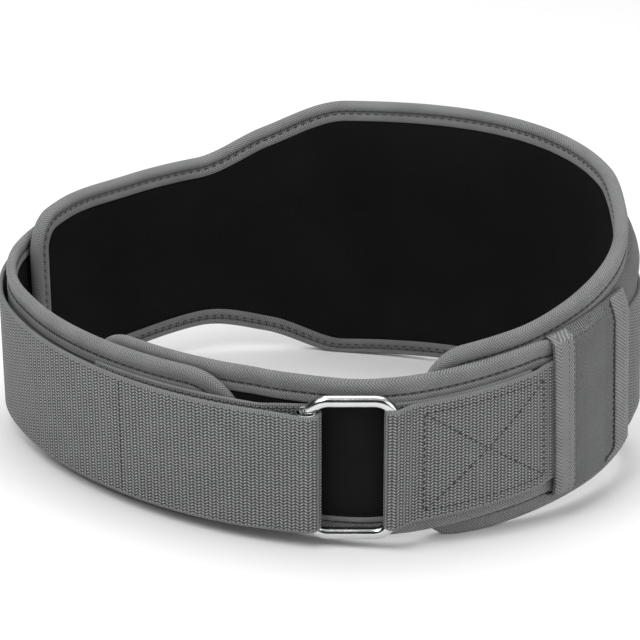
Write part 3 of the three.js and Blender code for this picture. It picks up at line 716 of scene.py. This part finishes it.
# Folded tape: how far in its edges and stitch rows lie on the outer and the inner face
tapeStitch = {
    "outerInset": 8.3, "innerInset": 6.0, "outerEdge": 13.2, "innerEdge": 9.9,
    "thickness": 0.85, "pitch": 4.4, "thread": 0.85, "length": 3.2,
    # groove's depth, its width towards the fold and towards the tape's edge, and how far over its
    # bottom the thread lies
    "groove": 0.8, "foldSide": 2.6, "edgeSide": 0.9, "threadRise": 0.12, "sink": 0.05,
    # pressed lip at the tape's edge, tape and play under the cloth, inset of the padding's edge
    "lip": 0.25, "lipReach": 0.7, "play": 0.25, "padEdge": 2.4,
    # round fold as a share of the front panels' thickness, and how many points each stretch has
    "foldShare": 0.62, "outerPoints": 22, "foldPoints": 13, "innerPoints": 20,
    # along the lower edges the tape beyond the stitches is narrower by this share
    "lowShare": 0.59, "lowFrom": 20.0,
}

webbing = webbingMaterial()
twill = twillMaterial()
lining = liningMaterial()
hookPile = hookMaterial()
chrome = chromeMaterial()
greyThread = threadMaterial("grey_thread", (0.05, 0.051, 0.052), (0.13, 0.132, 0.133))
# dark thread, partly its own colour and partly painted shade: on the bindings its darkness stands
# in for the shade over stitches sunk in the groove
darkThreadAndShade = threadMaterial("dark_thread_and_shade", (0.012, 0.012, 0.012), (0.05, 0.05, 0.05))
print("materials")


# Quads of a grid of points as vertex numbers, and the same quads as unwrapped grid places.
def gridFaces(rows, columns, closeRows, closeColumns):
    i, j = np.meshgrid(np.arange(rows if closeRows else rows - 1),
                       np.arange(columns if closeColumns else columns - 1), indexing="ij")
    i, j = i.ravel(), j.ravel()
    corners = np.stack([np.stack([i, j]), np.stack([i + 1, j]), np.stack([i + 1, j + 1]),
                        np.stack([i, j + 1])], axis=2)
    number = (corners[0] % rows) * columns + corners[1] % columns
    return number, corners


# One grid of a piece: points by row and column, u by row and v by column (one more of each where
# the grid closes), or both as full tables.
def surface(points, u, v, closeRows=False, closeColumns=False, flip=False):
    rows, columns = points.shape[:2]
    faces, corners = gridFaces(rows, columns, closeRows, closeColumns)
    u, v = np.asarray(u, float), np.asarray(v, float)
    atU = u[corners[0]] if u.ndim == 1 else u[corners[0], corners[1]]
    atV = v[corners[1]] if v.ndim == 1 else v[corners[0], corners[1]]
    uv = np.stack([atU, atV], axis=2)
    if flip:
        faces, uv = faces[:, ::-1], uv[:, ::-1]
    return points.reshape(-1, 3), faces, uv.reshape(-1, 2)


# Joins grids into one mesh, welds their shared borders and rides it on the belt's body.
def makePiece(name, surfaces, material, nodes=(), merge=True):
    offsets = np.cumsum([0] + [len(part[0]) for part in surfaces])
    points = toPart(np.concatenate([part[0] for part in surfaces]))
    faces = np.concatenate([part[1] + offset for part, offset in zip(surfaces, offsets)])
    uv = np.concatenate([part[2] for part in surfaces])
    mesh = bpy.data.meshes.new(name)
    mesh.vertices.add(len(points))
    mesh.vertices.foreach_set("co", points.ravel().astype(np.float32))
    mesh.loops.add(faces.size)
    mesh.loops.foreach_set("vertex_index", faces.ravel().astype(np.int32))
    mesh.polygons.add(len(faces))
    mesh.polygons.foreach_set("loop_start", np.arange(0, faces.size, 4, dtype=np.int32))
    mesh.update(calc_edges=True)
    layer = mesh.uv_layers.new(name="flat")
    layer.data.foreach_set("uv", uv.ravel().astype(np.float32))
    piece = bpy.data.objects.new(name, mesh)
    bpy.context.scene.collection.objects.link(piece)
    if merge:
        body = bmesh.new()
        body.from_mesh(mesh)
        bmesh.ops.remove_doubles(body, verts=body.verts, dist=0.004 * metre)
        bmesh.ops.recalc_face_normals(body, faces=body.faces)
        body.to_mesh(mesh)
        body.free()
    mesh.polygons.foreach_set("use_smooth", np.full(len(mesh.polygons), True))
    mesh.materials.append(material)
    mesh.update()
    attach(piece, "root")
    if nodes:
        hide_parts(*nodes)
    return piece


# Panels of the belt: flat sheets with rounded corners, bent round the plan
panels = {
    "back": {"start": -belt["rightReach"], "end": belt["leftReach"], "top": backEdge(1),
             "bottom": backEdge(2), "radii": (22.0, 20.0), "half": backHalf,
             "out": lambda along: np.zeros(np.shape(along))},
    "wing": {"start": wingStart, "end": wingEnd, "top": frontEdge, "bottom": frontEdge,
             "radii": (16.0, 29.0), "half": wingHalf, "out": wingOut},
    "tab": {"start": tabStart, "end": tabEnd + belt["tabHidden"], "top": tabTop,
            "bottom": frontEdge,
            "radii": (24.0, 16.0), "half": tabHalf, "out": tabOut},
}


# Closed outline of the sheet at even spacing: top edge, quarter circles at the corners, ends and
# bottom edge, each point with its inward normal in the sheet.
def panelOutline(panel, spacing=1.6):
    first, last = panel["radii"]
    start, end = panel["start"], panel["end"]
    turn = np.linspace(0, np.pi / 2, 24)
    top = np.linspace(start + first, end - last, 400)

    def corner(centre, radius, side, edge, up):
        along = centre + side * radius * np.sin(turn)
        height = edge(centre) - radius + radius * np.cos(turn)
        return np.stack([along, up * height], axis=1)

    left = corner(start + first, first, -1, panel["top"], 1)[::-1]
    right = corner(end - last, last, 1, panel["top"], 1)
    lowRight = corner(end - last, last, 1, panel["bottom"], -1)[::-1]
    lowLeft = corner(start + first, first, -1, panel["bottom"], -1)
    upper = np.stack([top, panel["top"](top)], axis=1)
    lower = np.stack([top[::-1], -panel["bottom"](top[::-1])], axis=1)
    points = np.concatenate([left[:-1], upper, right[1:], lowRight, lower[1:-1], lowLeft])
    length = spacedEvenly(points, 8)[1]
    loop, length = spacedEvenly(points, round(length / spacing))
    tangent = np.roll(loop, -1, axis=0) - np.roll(loop, 1, axis=0)
    inward = np.stack([tangent[:, 1], -tangent[:, 0]], axis=1)
    inward /= np.linalg.norm(inward, axis=1, keepdims=True)
    return loop, inward, length


# Points at each inset from the outline and each height off the middle surface.
def onSheet(panel, loop, inward, inset, off):
    flat = loop[:, None, :] + inward[:, None, :] * np.atleast_2d(inset)[..., None]
    return wrap(flat[..., 0], panel["out"](flat[..., 0]) + off, flat[..., 1])


# Distance in from the sheet's outline: the nearest edge, rounded at the corners.
def depthInside(panel, along, z):
    down, up = panel["top"](along) - z, z + panel["bottom"](along)
    ends = ((along - panel["start"], panel["radii"][0]), (panel["end"] - along, panel["radii"][1]))
    nearest = np.full(np.shape(z), np.inf)
    for edge in (down, up):
        for end, radius in ends:
            turned = radius - np.hypot(np.maximum(radius - edge, 0), np.maximum(radius - end, 0))
            both = (edge < radius) & (end < radius)
            nearest = np.minimum(nearest, np.where(both, turned, np.minimum(edge, end)))
    return nearest


padding = {
    "columns": 2.4, "rows": 48, "crowding": 0.0275, "hidden": 2.4, "lap": 0.15, "sunk": 0.1,
    "fill": 0.8,
    "rise": (-1.2, 3.4), "swell": 0.7, "swellReach": 14.0,
    # swell of the lumbar middle: its most, where it starts beside the strap and inside the tape,
    # and where it fades along the belt
    "lumbar": 2.2, "besideStrap": (32.5, 45.0), "insideTape": (1.0, 14.0), "fade": (105.0, 160.0),
}


# Columns of the sheet inside an inset outline, closer together in its rounded corners.
def padGrid(panel, inset):
    first, last = (radius - inset for radius in panel["radii"])
    start, end = panel["start"] + inset, panel["end"] - inset
    turn = np.linspace(0, np.pi / 2, 14)
    middle = np.linspace(start + first, end - last, round((end - start) / padding["columns"]))
    along = np.concatenate([start + first - first * np.cos(turn), middle[1:-1],
                            end - last + last * np.sin(turn)])

    def height(edge):
        straight = edge(along) - inset
        for centre, radius in ((start + first, first), (end - last, last)):
            beyond = (along < centre) if centre == start + first else (along > centre)
            fall = np.sqrt(np.maximum(radius ** 2 - (along - centre) ** 2, 0))
            straight = np.where(beyond, edge(centre) - inset - radius + fall, straight)
        return straight

    share = np.linspace(0, 1, padding["rows"])
    share = share - padding["crowding"] * np.sin(4 * np.pi * share)
    low, high = -height(panel["bottom"]), height(panel["top"])
    z = low[:, None] + (high - low)[:, None] * share[None, :]
    return np.repeat(along[:, None], len(share), axis=1), z


# Cloth with its half of the padding: full height inside the tape, swelling a little away from it,
# and a flat back on the sheet's middle.
def addPad(name, panel, side, material, slotName):
    edge = tapeStitch["outerEdge"] if side > 0 else tapeStitch["innerEdge"]
    inset = edge - padding["hidden"]
    along, z = padGrid(panel, inset)
    inside = depthInside(panel, along, z) - edge
    full = panel["half"](along)
    rise = smoothShare(inside, *padding["rise"])
    swell = padding["swell"] * (1 - np.exp(-np.maximum(inside, 0) / padding["swellReach"]))
    if name == "back_cover":
        swell = swell + swellAt(along) * swellShare(inside + edge)
        beyond = (smoothShare(np.abs(z), *padding["besideStrap"])
                  * smoothShare(inside, *padding["insideTape"]))
        near = 1 - smoothShare(np.abs(along), *padding["fade"])
        swell = swell + padding["lumbar"] * beyond * near
    off = (full - tapeStitch["thickness"] - padding["lap"]) + swell
    off = off + rise * (tapeStitch["thickness"] - padding["sunk"])
    front = wrap(along, panel["out"](along) + side * off, z)
    back = wrap(along, panel["out"](along) + side * padding["lap"], z)
    parts = [surface(front, along, z), surface(back, along, z, flip=True)]
    for rim in (np.s_[0, :], np.s_[-1, :], np.s_[:, 0], np.s_[:, -1]):
        wall = np.stack([front[rim], back[rim]])
        parts.append(surface(wall, np.stack([along[rim]] * 2), np.stack([z[rim]] * 2)))
    makePiece(name, parts, material, [name])


# Closed section of the folded tape as insets and heights for each half thickness, with the length
# across it: flat faces with a groove at the stitches, and a round fold at the edge.
def tapeSection(half):
    stitch = tapeStitch
    roundEnd = belt["frontThickness"] * stitch["foldShare"]
    outer = np.linspace(stitch["outerEdge"], roundEnd, stitch["outerPoints"])
    inner = np.linspace(roundEnd, stitch["innerEdge"], stitch["innerPoints"])
    turn = np.linspace(np.pi / 2, -np.pi / 2, stitch["foldPoints"] + 2)[1:-1]
    inset = np.concatenate([outer, roundEnd * (1 - np.cos(turn)), inner])

    def sunk(insets, row):
        width = np.where(insets < row, stitch["foldSide"], stitch["edgeSide"])
        return np.exp(-((insets - row) / width) ** 2)

    def pressed(insets, edge):
        return smoothShare(insets, edge - stitch["lipReach"], edge)

    groove = np.concatenate([sunk(outer, stitch["outerInset"]), 0 * turn,
                             sunk(inner, stitch["innerInset"])])
    lip = np.concatenate([pressed(outer, stitch["outerEdge"]), 0 * turn,
                          pressed(inner, stitch["innerEdge"])])
    share = np.concatenate([np.ones(len(outer)), np.sin(turn), -np.ones(len(inner))])
    high = half[:, None] - stitch["groove"] * groove - stitch["lip"] * lip
    off = high * share
    under = half - stitch["thickness"] - stitch["play"]
    backInset = np.array([stitch["innerEdge"], stitch["padEdge"], stitch["padEdge"],
                          stitch["outerEdge"]])
    backOff = under[:, None] * np.array([-1.0, -1.0, 1.0, 1.0])
    inset = np.concatenate([inset, backInset])
    off = np.concatenate([off, backOff], axis=1)
    flat = off[len(half) // 2]
    across = np.concatenate([[0], np.cumsum(np.hypot(np.diff(inset), np.diff(flat)))])
    return inset, off, np.append(across, across[-1] + stitch["thickness"])


# Lengths across the tape of the outer and the inner stitch row.
def stitchPlaces():
    inset, _, across = tapeSection(np.full(3, belt["frontThickness"] / 2))
    outerEnd = tapeStitch["outerPoints"]
    innerFirst = outerEnd + tapeStitch["foldPoints"]
    innerEnd = innerFirst + tapeStitch["innerPoints"]
    outer = np.argmin(np.abs(inset[:outerEnd] - tapeStitch["outerInset"]))
    inner = np.argmin(np.abs(inset[innerFirst:innerEnd] - tapeStitch["innerInset"]))
    return across[outer], across[innerFirst + inner]


# Rings of a stitch: share of the half length, share of the radius
spindle = [(-1.0, 0.05), (-0.82, 0.62), (-0.35, 1.0), (0.35, 1.0), (0.82, 0.62), (1.0, 0.05)]
stitchForm = {"sides": 6, "dip": 0.55, "flatness": 0.8}


# Short threads lying on a surface: a spindle of rings, carried to every place. Its ends dip into
# the cloth with the cube of the share of the half length.
def threads(places, tangents, normals, length, thickness):
    share, width = np.array(spindle).T
    radius = thickness / 2 * width
    dip = -thickness * stitchForm["dip"] * np.abs(share) ** 3
    angle = np.linspace(0, 2 * np.pi, stitchForm["sides"] + 1)[:-1]
    side = np.cross(normals, tangents)
    along = share[:, None] * length / 2 + 0 * angle
    wide = radius[:, None] * np.cos(angle)
    high = radius[:, None] * np.sin(angle) * stitchForm["flatness"] + dip[:, None]
    points = (places[:, None, None, :] + tangents[:, None, None, :] * along[None, :, :, None]
              + side[:, None, None, :] * wide[None, :, :, None]
              + normals[:, None, None, :] * high[None, :, :, None])
    faces, corners = gridFaces(len(share), len(angle), False, True)
    count = len(share) * len(angle)
    faces = (faces[None] + (np.arange(len(places)) * count)[:, None, None]).reshape(-1, 4)
    uv = np.stack([along[:, 0][corners[0]], corners[1] * 0.3], axis=2).reshape(-1, 2)
    return points.reshape(-1, 3), faces, np.tile(uv, (len(places), 1))


# Vectors divided by their lengths.
def unit(vectors):
    return vectors / np.linalg.norm(vectors, axis=-1, keepdims=True)


# Threads at even pitch along a line of points on a surface.
def seam(line, normals, pitch, length, thickness, closed=False, sink=0.0):
    points = np.vstack([line, line[:1]]) if closed else line
    facing = np.vstack([normals, normals[:1]]) if closed else normals
    along = np.concatenate([[0], np.cumsum(np.linalg.norm(np.diff(points, axis=0), axis=1))])
    count = max(2, int(round(along[-1] / pitch)))
    want = (np.arange(count) + 0.5) * along[-1] / count
    at = lambda where: np.stack([np.interp(where, along, points[:, k]) for k in range(3)], axis=1)
    facingAt = np.stack([np.interp(want, along, facing[:, k]) for k in range(3)], axis=1)
    tangent = unit(at(want + 0.4) - at(want - 0.4))
    normal = unit(facingAt - tangent * np.sum(facingAt * tangent, axis=1, keepdims=True))
    return threads(at(want) - sink * normal, tangent, normal, length, thickness)


outerRow, innerRow = stitchPlaces()
bindingTape = tapeMaterial("binding_tape", [outerRow, innerRow], tapeStitch["pitch"],
                           tapeLook["pitch"], tapeLook["band"])


# The tape folded round the panel's whole edge, and its stitches on both faces.
def addBinding(name, panel):
    loop, inward, length = panelOutline(panel)
    pitches = round(length / tapeStitch["pitch"])
    half = panel["half"](loop[:, 0])
    inset, off, across = tapeSection(half)
    low = tapeStitch["lowFrom"]
    saved = (1 - tapeStitch["lowShare"]) * (1 - smoothShare(loop[:, 1], -low, low))
    past = np.maximum(inset - tapeStitch["outerInset"], 0)
    past[tapeStitch["outerPoints"]:-1] = 0
    points = onSheet(panel, loop, inward, inset - past * saved[:, None], off)
    around = np.linspace(0, pitches * tapeStitch["pitch"], len(loop) + 1)
    makePiece(name + "_binding", [surface(points, around, across, True, True, True)],
              bindingTape, [name + "_binding"])
    rows = []
    for side, row in ((1, tapeStitch["outerInset"]), (-1, tapeStitch["innerInset"])):
        height = half - tapeStitch["groove"] + tapeStitch["threadRise"]
        line = onSheet(panel, loop, inward, np.array([row]), side * height[:, None])[:, 0]
        above = onSheet(panel, loop, inward, np.array([row]), side * (height + 1)[:, None])[:, 0]
        rows.append(seam(line, unit(above - line), length / pitches, tapeStitch["length"],
                         tapeStitch["thread"], closed=True, sink=tapeStitch["sink"]))
    # the bindings' stitches use the dark thread, whose darkness here is also painted shade of the
    # stitch groove
    makePiece(name + "_binding_stitches", rows, darkThreadAndShade, merge=False)


for name, panel in panels.items():
    outer = (lining, "lining_cloth") if name == "tab" else (twill, "cover_cloth")
    addPad(name + "_cover", panel, 1, *outer)
    addPad(name + "_lining", panel, -1, lining, "lining_cloth")
    addBinding(name, panel)
print("panels and bindings")


# Places from start to end, about a step apart.
def stations(start, end, step=1.5):
    return np.linspace(start, end, max(2, int(round(abs(end - start) / step)) + 1))


# Half circle round a bar, from behind it to before it or the other way.
def foldRound(centre, radius, side):
    angle = np.pi / 2 - side * np.linspace(0, np.pi, 25)
    return np.array(centre) + radius * np.stack([np.cos(angle), np.sin(angle)], axis=1)


# Plan of the strap from its folded end inside, round the roller, over the wing, round the back,
# through the right sleeve and round the ring's right bar to its sewn end.
def strapPath():
    near, past = strap["nearRoller"], strap["pastBar"]
    radius = halfStrap + gap
    inner = stations(leftBar - strap["foldedReach"], leftBar - near)
    outer = stations(leftBar - near, wingStart - strap["pastWing"])
    back = stations(sleeveFar, -sleeveFar)
    front = stations(sleeveMouth - 1, rightBar + past)
    sewn = stations(rightBar + past, rightBar + strap["sewnReach"])
    parts = [
        onPlan(inner, innerOut(inner)),
        foldRound(rollerPlace, ring["rollerOuter"] / 2 + radius, 1),
        onPlan(outer, outerOut(outer)),
        onPlan(back, strapOverBack(back) + underSleeve(back)),
        onPlan(front, outerFront(front)),
        foldRound(rightBarPlace, ring["wire"] / 2 + radius, -1)[::-1],
        onPlan(sewn, overTab(sewn)),
    ]
    return np.concatenate(parts)


# Open line at even steps, with its sharp changes rounded by a short running mean.
def evenPath(points, step):
    along = np.concatenate([[0], np.cumsum(np.linalg.norm(np.diff(points, axis=0), axis=1))])
    count = int(along[-1] / step) + 1
    want = np.linspace(0, along[-1], count)
    even = np.stack([np.interp(want, along, points[:, k]) for k in range(2)], axis=1)
    for _ in range(strap["smoothing"]):
        even[1:-1] = 0.25 * even[:-2] + 0.5 * even[1:-1] + 0.25 * even[2:]
    return even, want


bandForm = {"facePoints": 29, "edgePoints": 5, "edgeRound": 0.28}


# Section of a flat band as heights, shares of the half thickness and length across.
def bandSection(height, thickness):
    top = height / 2
    turn = np.linspace(0, np.pi, bandForm["edgePoints"] + 2)[1:-1]
    face = np.linspace(-top, top, bandForm["facePoints"])
    rounded = thickness * bandForm["edgeRound"] * np.sin(turn)
    z = np.concatenate([face, top + rounded, face[::-1], -top - rounded])
    full = np.ones(len(face))
    return z, np.concatenate([full, np.cos(turn), -full, -np.cos(turn)]), np.append(z, z[0])


# Unit vectors across a plan line, on its outer side.
def bandNormals(path):
    tangent = np.gradient(path, axis=0)
    return unit(np.stack([tangent[:, 1], -tangent[:, 0]], axis=1))


# Flat band standing on edge along a plan line, closed at both ends. Its upper edge comes down by
# the neck, in a straight line from the middle.
def band(path, along, height, thickness, neck=None):
    z, share, v = bandSection(height, thickness)
    normal = bandNormals(path)
    off = np.repeat((share * thickness / 2)[None, :], len(path), axis=0)
    flat = path[:, None, :] + normal[:, None, :] * off[..., None]
    drawn = np.zeros(len(path)) if neck is None else neck
    upright = z[None, :] - drawn[:, None] * np.maximum(z, 0)[None, :] / (height / 2)
    points = np.concatenate([flat, upright[..., None]], axis=2)
    parts = [surface(points, along, v, closeColumns=True)]
    half = len(z) // 2
    for end in (0, -1):
        cap = np.stack([points[end][:half], points[end][half:][::-1]])
        parts.append(surface(cap, np.zeros((2, half)), np.stack([z[:half]] * 2), flip=end == 0))
    return parts


strapLine, strapAlong = evenPath(strapPath(), strap["step"])
atRoller = strapAlong[np.argmax(strapLine[strapAlong < strap["firstStretch"], 0])]
drawnIn = strap["neck"] * np.exp(-((strapAlong - atRoller) / strap["neckReach"]) ** 2)
makePiece("strap", band(strapLine, strapAlong, strap["height"], strap["thickness"], drawnIn),
          webbing, ["strap"])
print("strap: %.0f mm long" % strapAlong[-1])

# Places along the belt and sizes of the strap's seams
strapSeams = {
    "boxLeft": 556.2, "boxRight": 619.0, "boxHeight": 53.0, "leftSeam": 415.5,
    "pitch": 3.6, "leftPitch": 2.8, "length": 2.7, "thread": 0.8, "sink": -0.08,
    "margin": 2.0, "points": 60,
    # rows of small stitches side by side, beside the ring's right bar
    "denseFrom": 623.0, "denseTo": 626.0, "denseRows": 5, "densePitch": 1.66,
    "denseLength": 1.2, "denseThread": 0.5, "denseSink": 0.12,
}


# Points on the strap's outer face, right of the ring.
def onStrapFront(along, z):
    line = wrap(along, outerFront(along) + halfStrap, z)
    return line, unit(wrap(along, outerFront(along) + halfStrap + 1, z) - line)


# Points on the strap's outer face, left of the ring.
def onStrapLeft(along, z):
    line = wrap(along, outerOut(along) + halfStrap, z)
    return line, unit(wrap(along, outerOut(along) + halfStrap + 1, z) - line)


# The stitched box with its cross, the seam at the left and the close rows by the ring.
def addStrapStitches():
    size, points = strapSeams, strapSeams["points"]
    left, right, top = size["boxLeft"], size["boxRight"], size["boxHeight"] / 2
    lines = [((left, -top), (left, top)), ((right, -top), (right, top)),
             ((left, top), (right, -top)), ((left, -top), (right, top)),
             ((left, top), (right, top)), ((left, -top), (right, -top))]
    rows = []
    for (a, low), (b, high) in lines:
        along, z = np.linspace(a, b, points), np.linspace(low, high, points)
        rows.append(seam(*onStrapFront(along, z), size["pitch"], size["length"], size["thread"],
                         sink=size["sink"]))
    reach = strap["height"] / 2 - size["margin"]
    z = np.linspace(-reach, reach, points)
    rows.append(seam(*onStrapLeft(np.full(points, size["leftSeam"]), z), size["leftPitch"],
                     size["length"], size["thread"], sink=size["sink"]))
    makePiece("strap_stitches", rows, darkThreadAndShade, merge=False)
    dense = [seam(*onStrapFront(np.full(points, along), z), size["densePitch"],
                  size["denseLength"], size["denseThread"], sink=size["denseSink"])
             for along in np.linspace(size["denseFrom"], size["denseTo"], size["denseRows"])]
    makePiece("strap_bar_stitches", dense, greyThread, merge=False)


addStrapStitches()

patch = {"length": 56.0, "height": 57.0, "thickness": 1.2, "inFromEnd": 14.0}


# Hook and loop midway between the strap's two layers.
def addFastener():
    start = leftBar - strap["foldedReach"] + patch["inFromEnd"]
    along = stations(start, start + patch["length"])
    path = onPlan(along, (innerOut(along) + outerOut(along)) / 2)
    makePiece("fastener_patch", band(path, along, patch["height"], patch["thickness"]),
              hookPile, ["fastener_patch"])


addFastener()


# Wire bent to a rounded rectangle: a circle carried round it, straight sides filled in.
def addRing():
    wide, high = (ring["width"] - ring["wire"]) / 2, (ring["height"] - ring["wire"]) / 2
    radius = ring["corner"] - ring["wire"] / 2
    turn = np.linspace(0, np.pi / 2, 15)
    rows = []
    for quarter, (sx, sz) in enumerate([(1, 1), (-1, 1), (-1, -1), (1, -1)]):
        angle = turn + quarter * np.pi / 2
        centre = np.array([sx * (wide - radius), sz * (high - radius)])
        rows.append(np.stack([centre[0] + radius * np.cos(angle),
                              centre[1] + radius * np.sin(angle), angle], axis=1))
    route = []
    for k, row in enumerate(rows):
        after = rows[(k + 1) % 4][0].copy()
        after[2] = row[-1][2]
        share = np.linspace(0, 1, 12)[1:-1, None]
        route += [row, row[-1] * (1 - share) + after * share]
    route = np.concatenate(route)
    away = np.stack([np.cos(route[:, 2]), np.sin(route[:, 2])], axis=1)
    around = np.linspace(0, 2 * np.pi, ring["sides"] + 1)[:-1]
    reach = (ring["wire"] / 2 * np.cos(around))[None, :, None]
    flat = route[:, None, :2] + away[:, None, :] * reach
    depth = np.broadcast_to(ring["wire"] / 2 * np.sin(around), flat.shape[:2])
    middle = (leftBarPlace + rightBarPlace) / 2
    points = np.stack([flat[..., 0] + middle[0], depth + middle[1], flat[..., 1]], axis=2)
    length = np.arange(len(route) + 1)
    girthPlaces = np.arange(ring["sides"] + 1)
    makePiece("ring", [surface(points, length, girthPlaces, True, True)], chrome,
              ["ring"])


# Tube with rounded rims, turned from its wall's outline.
def addRoller():
    outer = ring["rollerOuter"] / 2
    inner, half, lip = outer - ring["rollerWall"], ring["rollerLength"] / 2, ring["lip"]
    wall = np.array([(inner, -half + lip), (inner + lip, -half), (outer - lip, -half),
                     (outer, -half + lip), (outer, 0.0), (outer, half - lip), (outer - lip, half),
                     (inner + lip, half), (inner, half - lip), (inner, 0.0)])
    angle = np.linspace(0, 2 * np.pi, ring["rollerSides"] + 1)[:-1]
    x = rollerPlace[0] + wall[None, :, 0] * np.cos(angle)[:, None]
    y = rollerPlace[1] + wall[None, :, 0] * np.sin(angle)[:, None]
    points = np.stack([x, y, np.broadcast_to(wall[:, 1], x.shape)], axis=2)
    places = np.arange(len(angle) + 1), np.arange(len(wall) + 1)
    makePiece("roller", [surface(points, *places, True, True)], chrome, ["roller"])


addRing()
addRoller()
print("strap, ring and roller")

# Stitches of the sleeve: how far in the rows stand, how they are spaced, and each row's length and
# thread
sleeveSeams = {
    "pitch": 3.4, "sink": 0.1, "upTo": 0.965, "points": 120, "hemPoints": 90,
    "besideRear": (2.8, 1.35), "mouth": (2.6, 0.5), "onRear": (3.0, 0.4), "onMouth": (2.8, 0.4),
    "hem": (2.8, 0.5), "besideReach": 0.5, "besideRise": 0.2, "mouthIn": 7.6, "mouthEdge": 0.7,
}
sleeve = {
    "mouthHeight": 88.0, "rearHeight": 94.0, "thickness": 1.0, "mouthTape": 11.5,
    "rearTape": 12.5, "tapeThickness": 0.9, "tapeRound": 0.4, "underTape": 0.4, "hem": 3.4,
    "step": 1.2, "rows": 91,
    # share of the half height, rise of the mouth and rise of the rear, as shares of the arch
    "arch": [(0.0, 1.0, 1.0), (0.76, 1.0, 1.0), (0.93, 0.85, 0.15), (0.97, 0.62, 0.0),
             (0.985, 0.0, 0.0), (1.0, 0.0, 0.0)],
}


# Half the sleeve's height, which falls in a straight line from the rear to the mouth.
def sleeveHalf(along):
    share = (np.abs(along) - belt["sleeveStart"]) / belt["sleeveLength"]
    return (sleeve["rearHeight"] + (sleeve["mouthHeight"] - sleeve["rearHeight"]) * share) / 2


# How far the sleeve stands up over the strap at a height, from flat at its sewn edges.
def archShare(side, along, z):
    level = np.abs(z) / sleeveHalf(along)
    mouth = np.minimum(1, underSleeve(along) * 4) if side < 0 else 0 * along
    rows = np.array(sleeve["arch"])
    front = np.interp(level, rows[:, 0], rows[:, 1])
    rear = np.interp(level, rows[:, 0], rows[:, 2])
    return rear + (front - rear) * mouth


# Distance outwards of the sleeve: from the panel's cover up to the strap's face by the arch.
def sleeveLift(side, along, z, extra):
    edge = np.where(z > 0, backEdge(1)(along), backEdge(2)(along))
    base = backHalf(along) + swellAt(along) * swellShare(edge - np.abs(z)) + gap
    top = strapOverBack(along) + underSleeve(along) + halfStrap + gap
    return base + (top - base) * archShare(side, along, z) + extra


# A cloth wall over the strap: outer and inner faces joined round all four edges.
def addCloth(name, side, start, end, extra, thickness, material, roundEdge=0.0):
    along = side * stations(start, end, sleeve["step"])
    a, h = np.meshgrid(along, np.linspace(-1, 1, sleeve["rows"]), indexing="ij")
    h = h * sleeveHalf(a)
    edge = np.minimum(np.abs(a - along[0]), np.abs(a - along[-1]))
    thin = roundEdge * (1 - np.sqrt(np.clip(edge / max(roundEdge, 0.01), 0, 1)))
    outer = wrap(a, sleeveLift(side, a, h, extra + thickness - thin), h)
    inner = wrap(a, sleeveLift(side, a, h, extra), h)
    parts = [surface(outer, a, h), surface(inner, a, h, flip=True)]
    for rim in (np.s_[0, :], np.s_[-1, :], np.s_[:, 0], np.s_[:, -1]):
        parts.append(surface(np.stack([outer[rim], inner[rim]]), np.stack([a[rim]] * 2),
                             np.stack([h[rim]] * 2)))
    return makePiece(name, parts, material, [name])


sleeveTape = tapeMaterial("sleeve_tape", [], tapeStitch["pitch"], tapeLook["sleevePitch"],
                          tapeLook["sleeveBand"])


# Swaps the flat map's two directions, so the tape's ribs run along its own length.
def turnUv(piece):
    layer = piece.data.uv_layers["flat"].data
    uv = np.zeros(len(layer) * 2, np.float32)
    layer.foreach_get("uv", uv)
    layer.foreach_set("uv", uv.reshape(-1, 2)[:, ::-1].ravel())


# The sleeve's cloth and its two tapes.
def addSleeve(word, side):
    start = belt["sleeveStart"]
    cloth = addCloth(word + "_sleeve", side, start, sleeveFar, 0.0, sleeve["thickness"], twill)
    lift = sleeve["thickness"] + sleeve["underTape"]
    tapes = (("front", sleeveFar - sleeve["mouthTape"], sleeveFar),
             ("rear", start, start + sleeve["rearTape"]))
    for kind, low, high in tapes:
        tape = addCloth(word + "_sleeve_" + kind + "_tape", side, low, high, lift,
                        sleeve["tapeThickness"], sleeveTape,
                        roundEdge=sleeve["tapeRound"])
        turnUv(tape)
    addSleeveStitches(word, side, lift + sleeve["tapeThickness"])


# Upright rows beside and on the tapes, whose faces stand out by outside, and a row along each hem.
def addSleeveStitches(word, side, outside):
    size, cloth = sleeveSeams, sleeve["thickness"]
    rear = belt["sleeveStart"] + sleeve["rearTape"]
    mouth = sleeveFar - sleeve["mouthTape"]
    level = np.linspace(-size["upTo"], size["upTo"], size["points"])

    def row(kind, along, heights, extra):
        at = wrap(along, sleeveLift(side, along, heights, extra), heights)
        above = wrap(along, sleeveLift(side, along, heights, extra + 1), heights)
        return seam(at, unit(above - at), size["pitch"], *size[kind], sink=size["sink"])

    def upright(kind, place, extra):
        along = np.full(size["points"], side * place)
        return row(kind, along, level * sleeveHalf(along), extra)

    rows = [upright("besideRear", rear + size["besideReach"], cloth + size["besideRise"]),
            upright("mouth", sleeveFar - size["mouthIn"], outside)]
    fine = [upright("onRear", rear - sleeve["rearTape"] / 2, outside),
            upright("onMouth", mouth + size["mouthEdge"], outside)]
    across = side * np.linspace(rear, mouth, size["hemPoints"])
    hem = sleeveHalf(across) - sleeve["hem"]
    fine += [row("hem", across, height * hem, cloth) for height in (-1, 1)]
    makePiece(word + "_sleeve_stitches", rows, darkThreadAndShade, merge=False)
    makePiece(word + "_sleeve_fine_stitches", fine, darkThreadAndShade, merge=False)


addSleeve("right", -1)
addSleeve("left", 1)
print("sleeves")
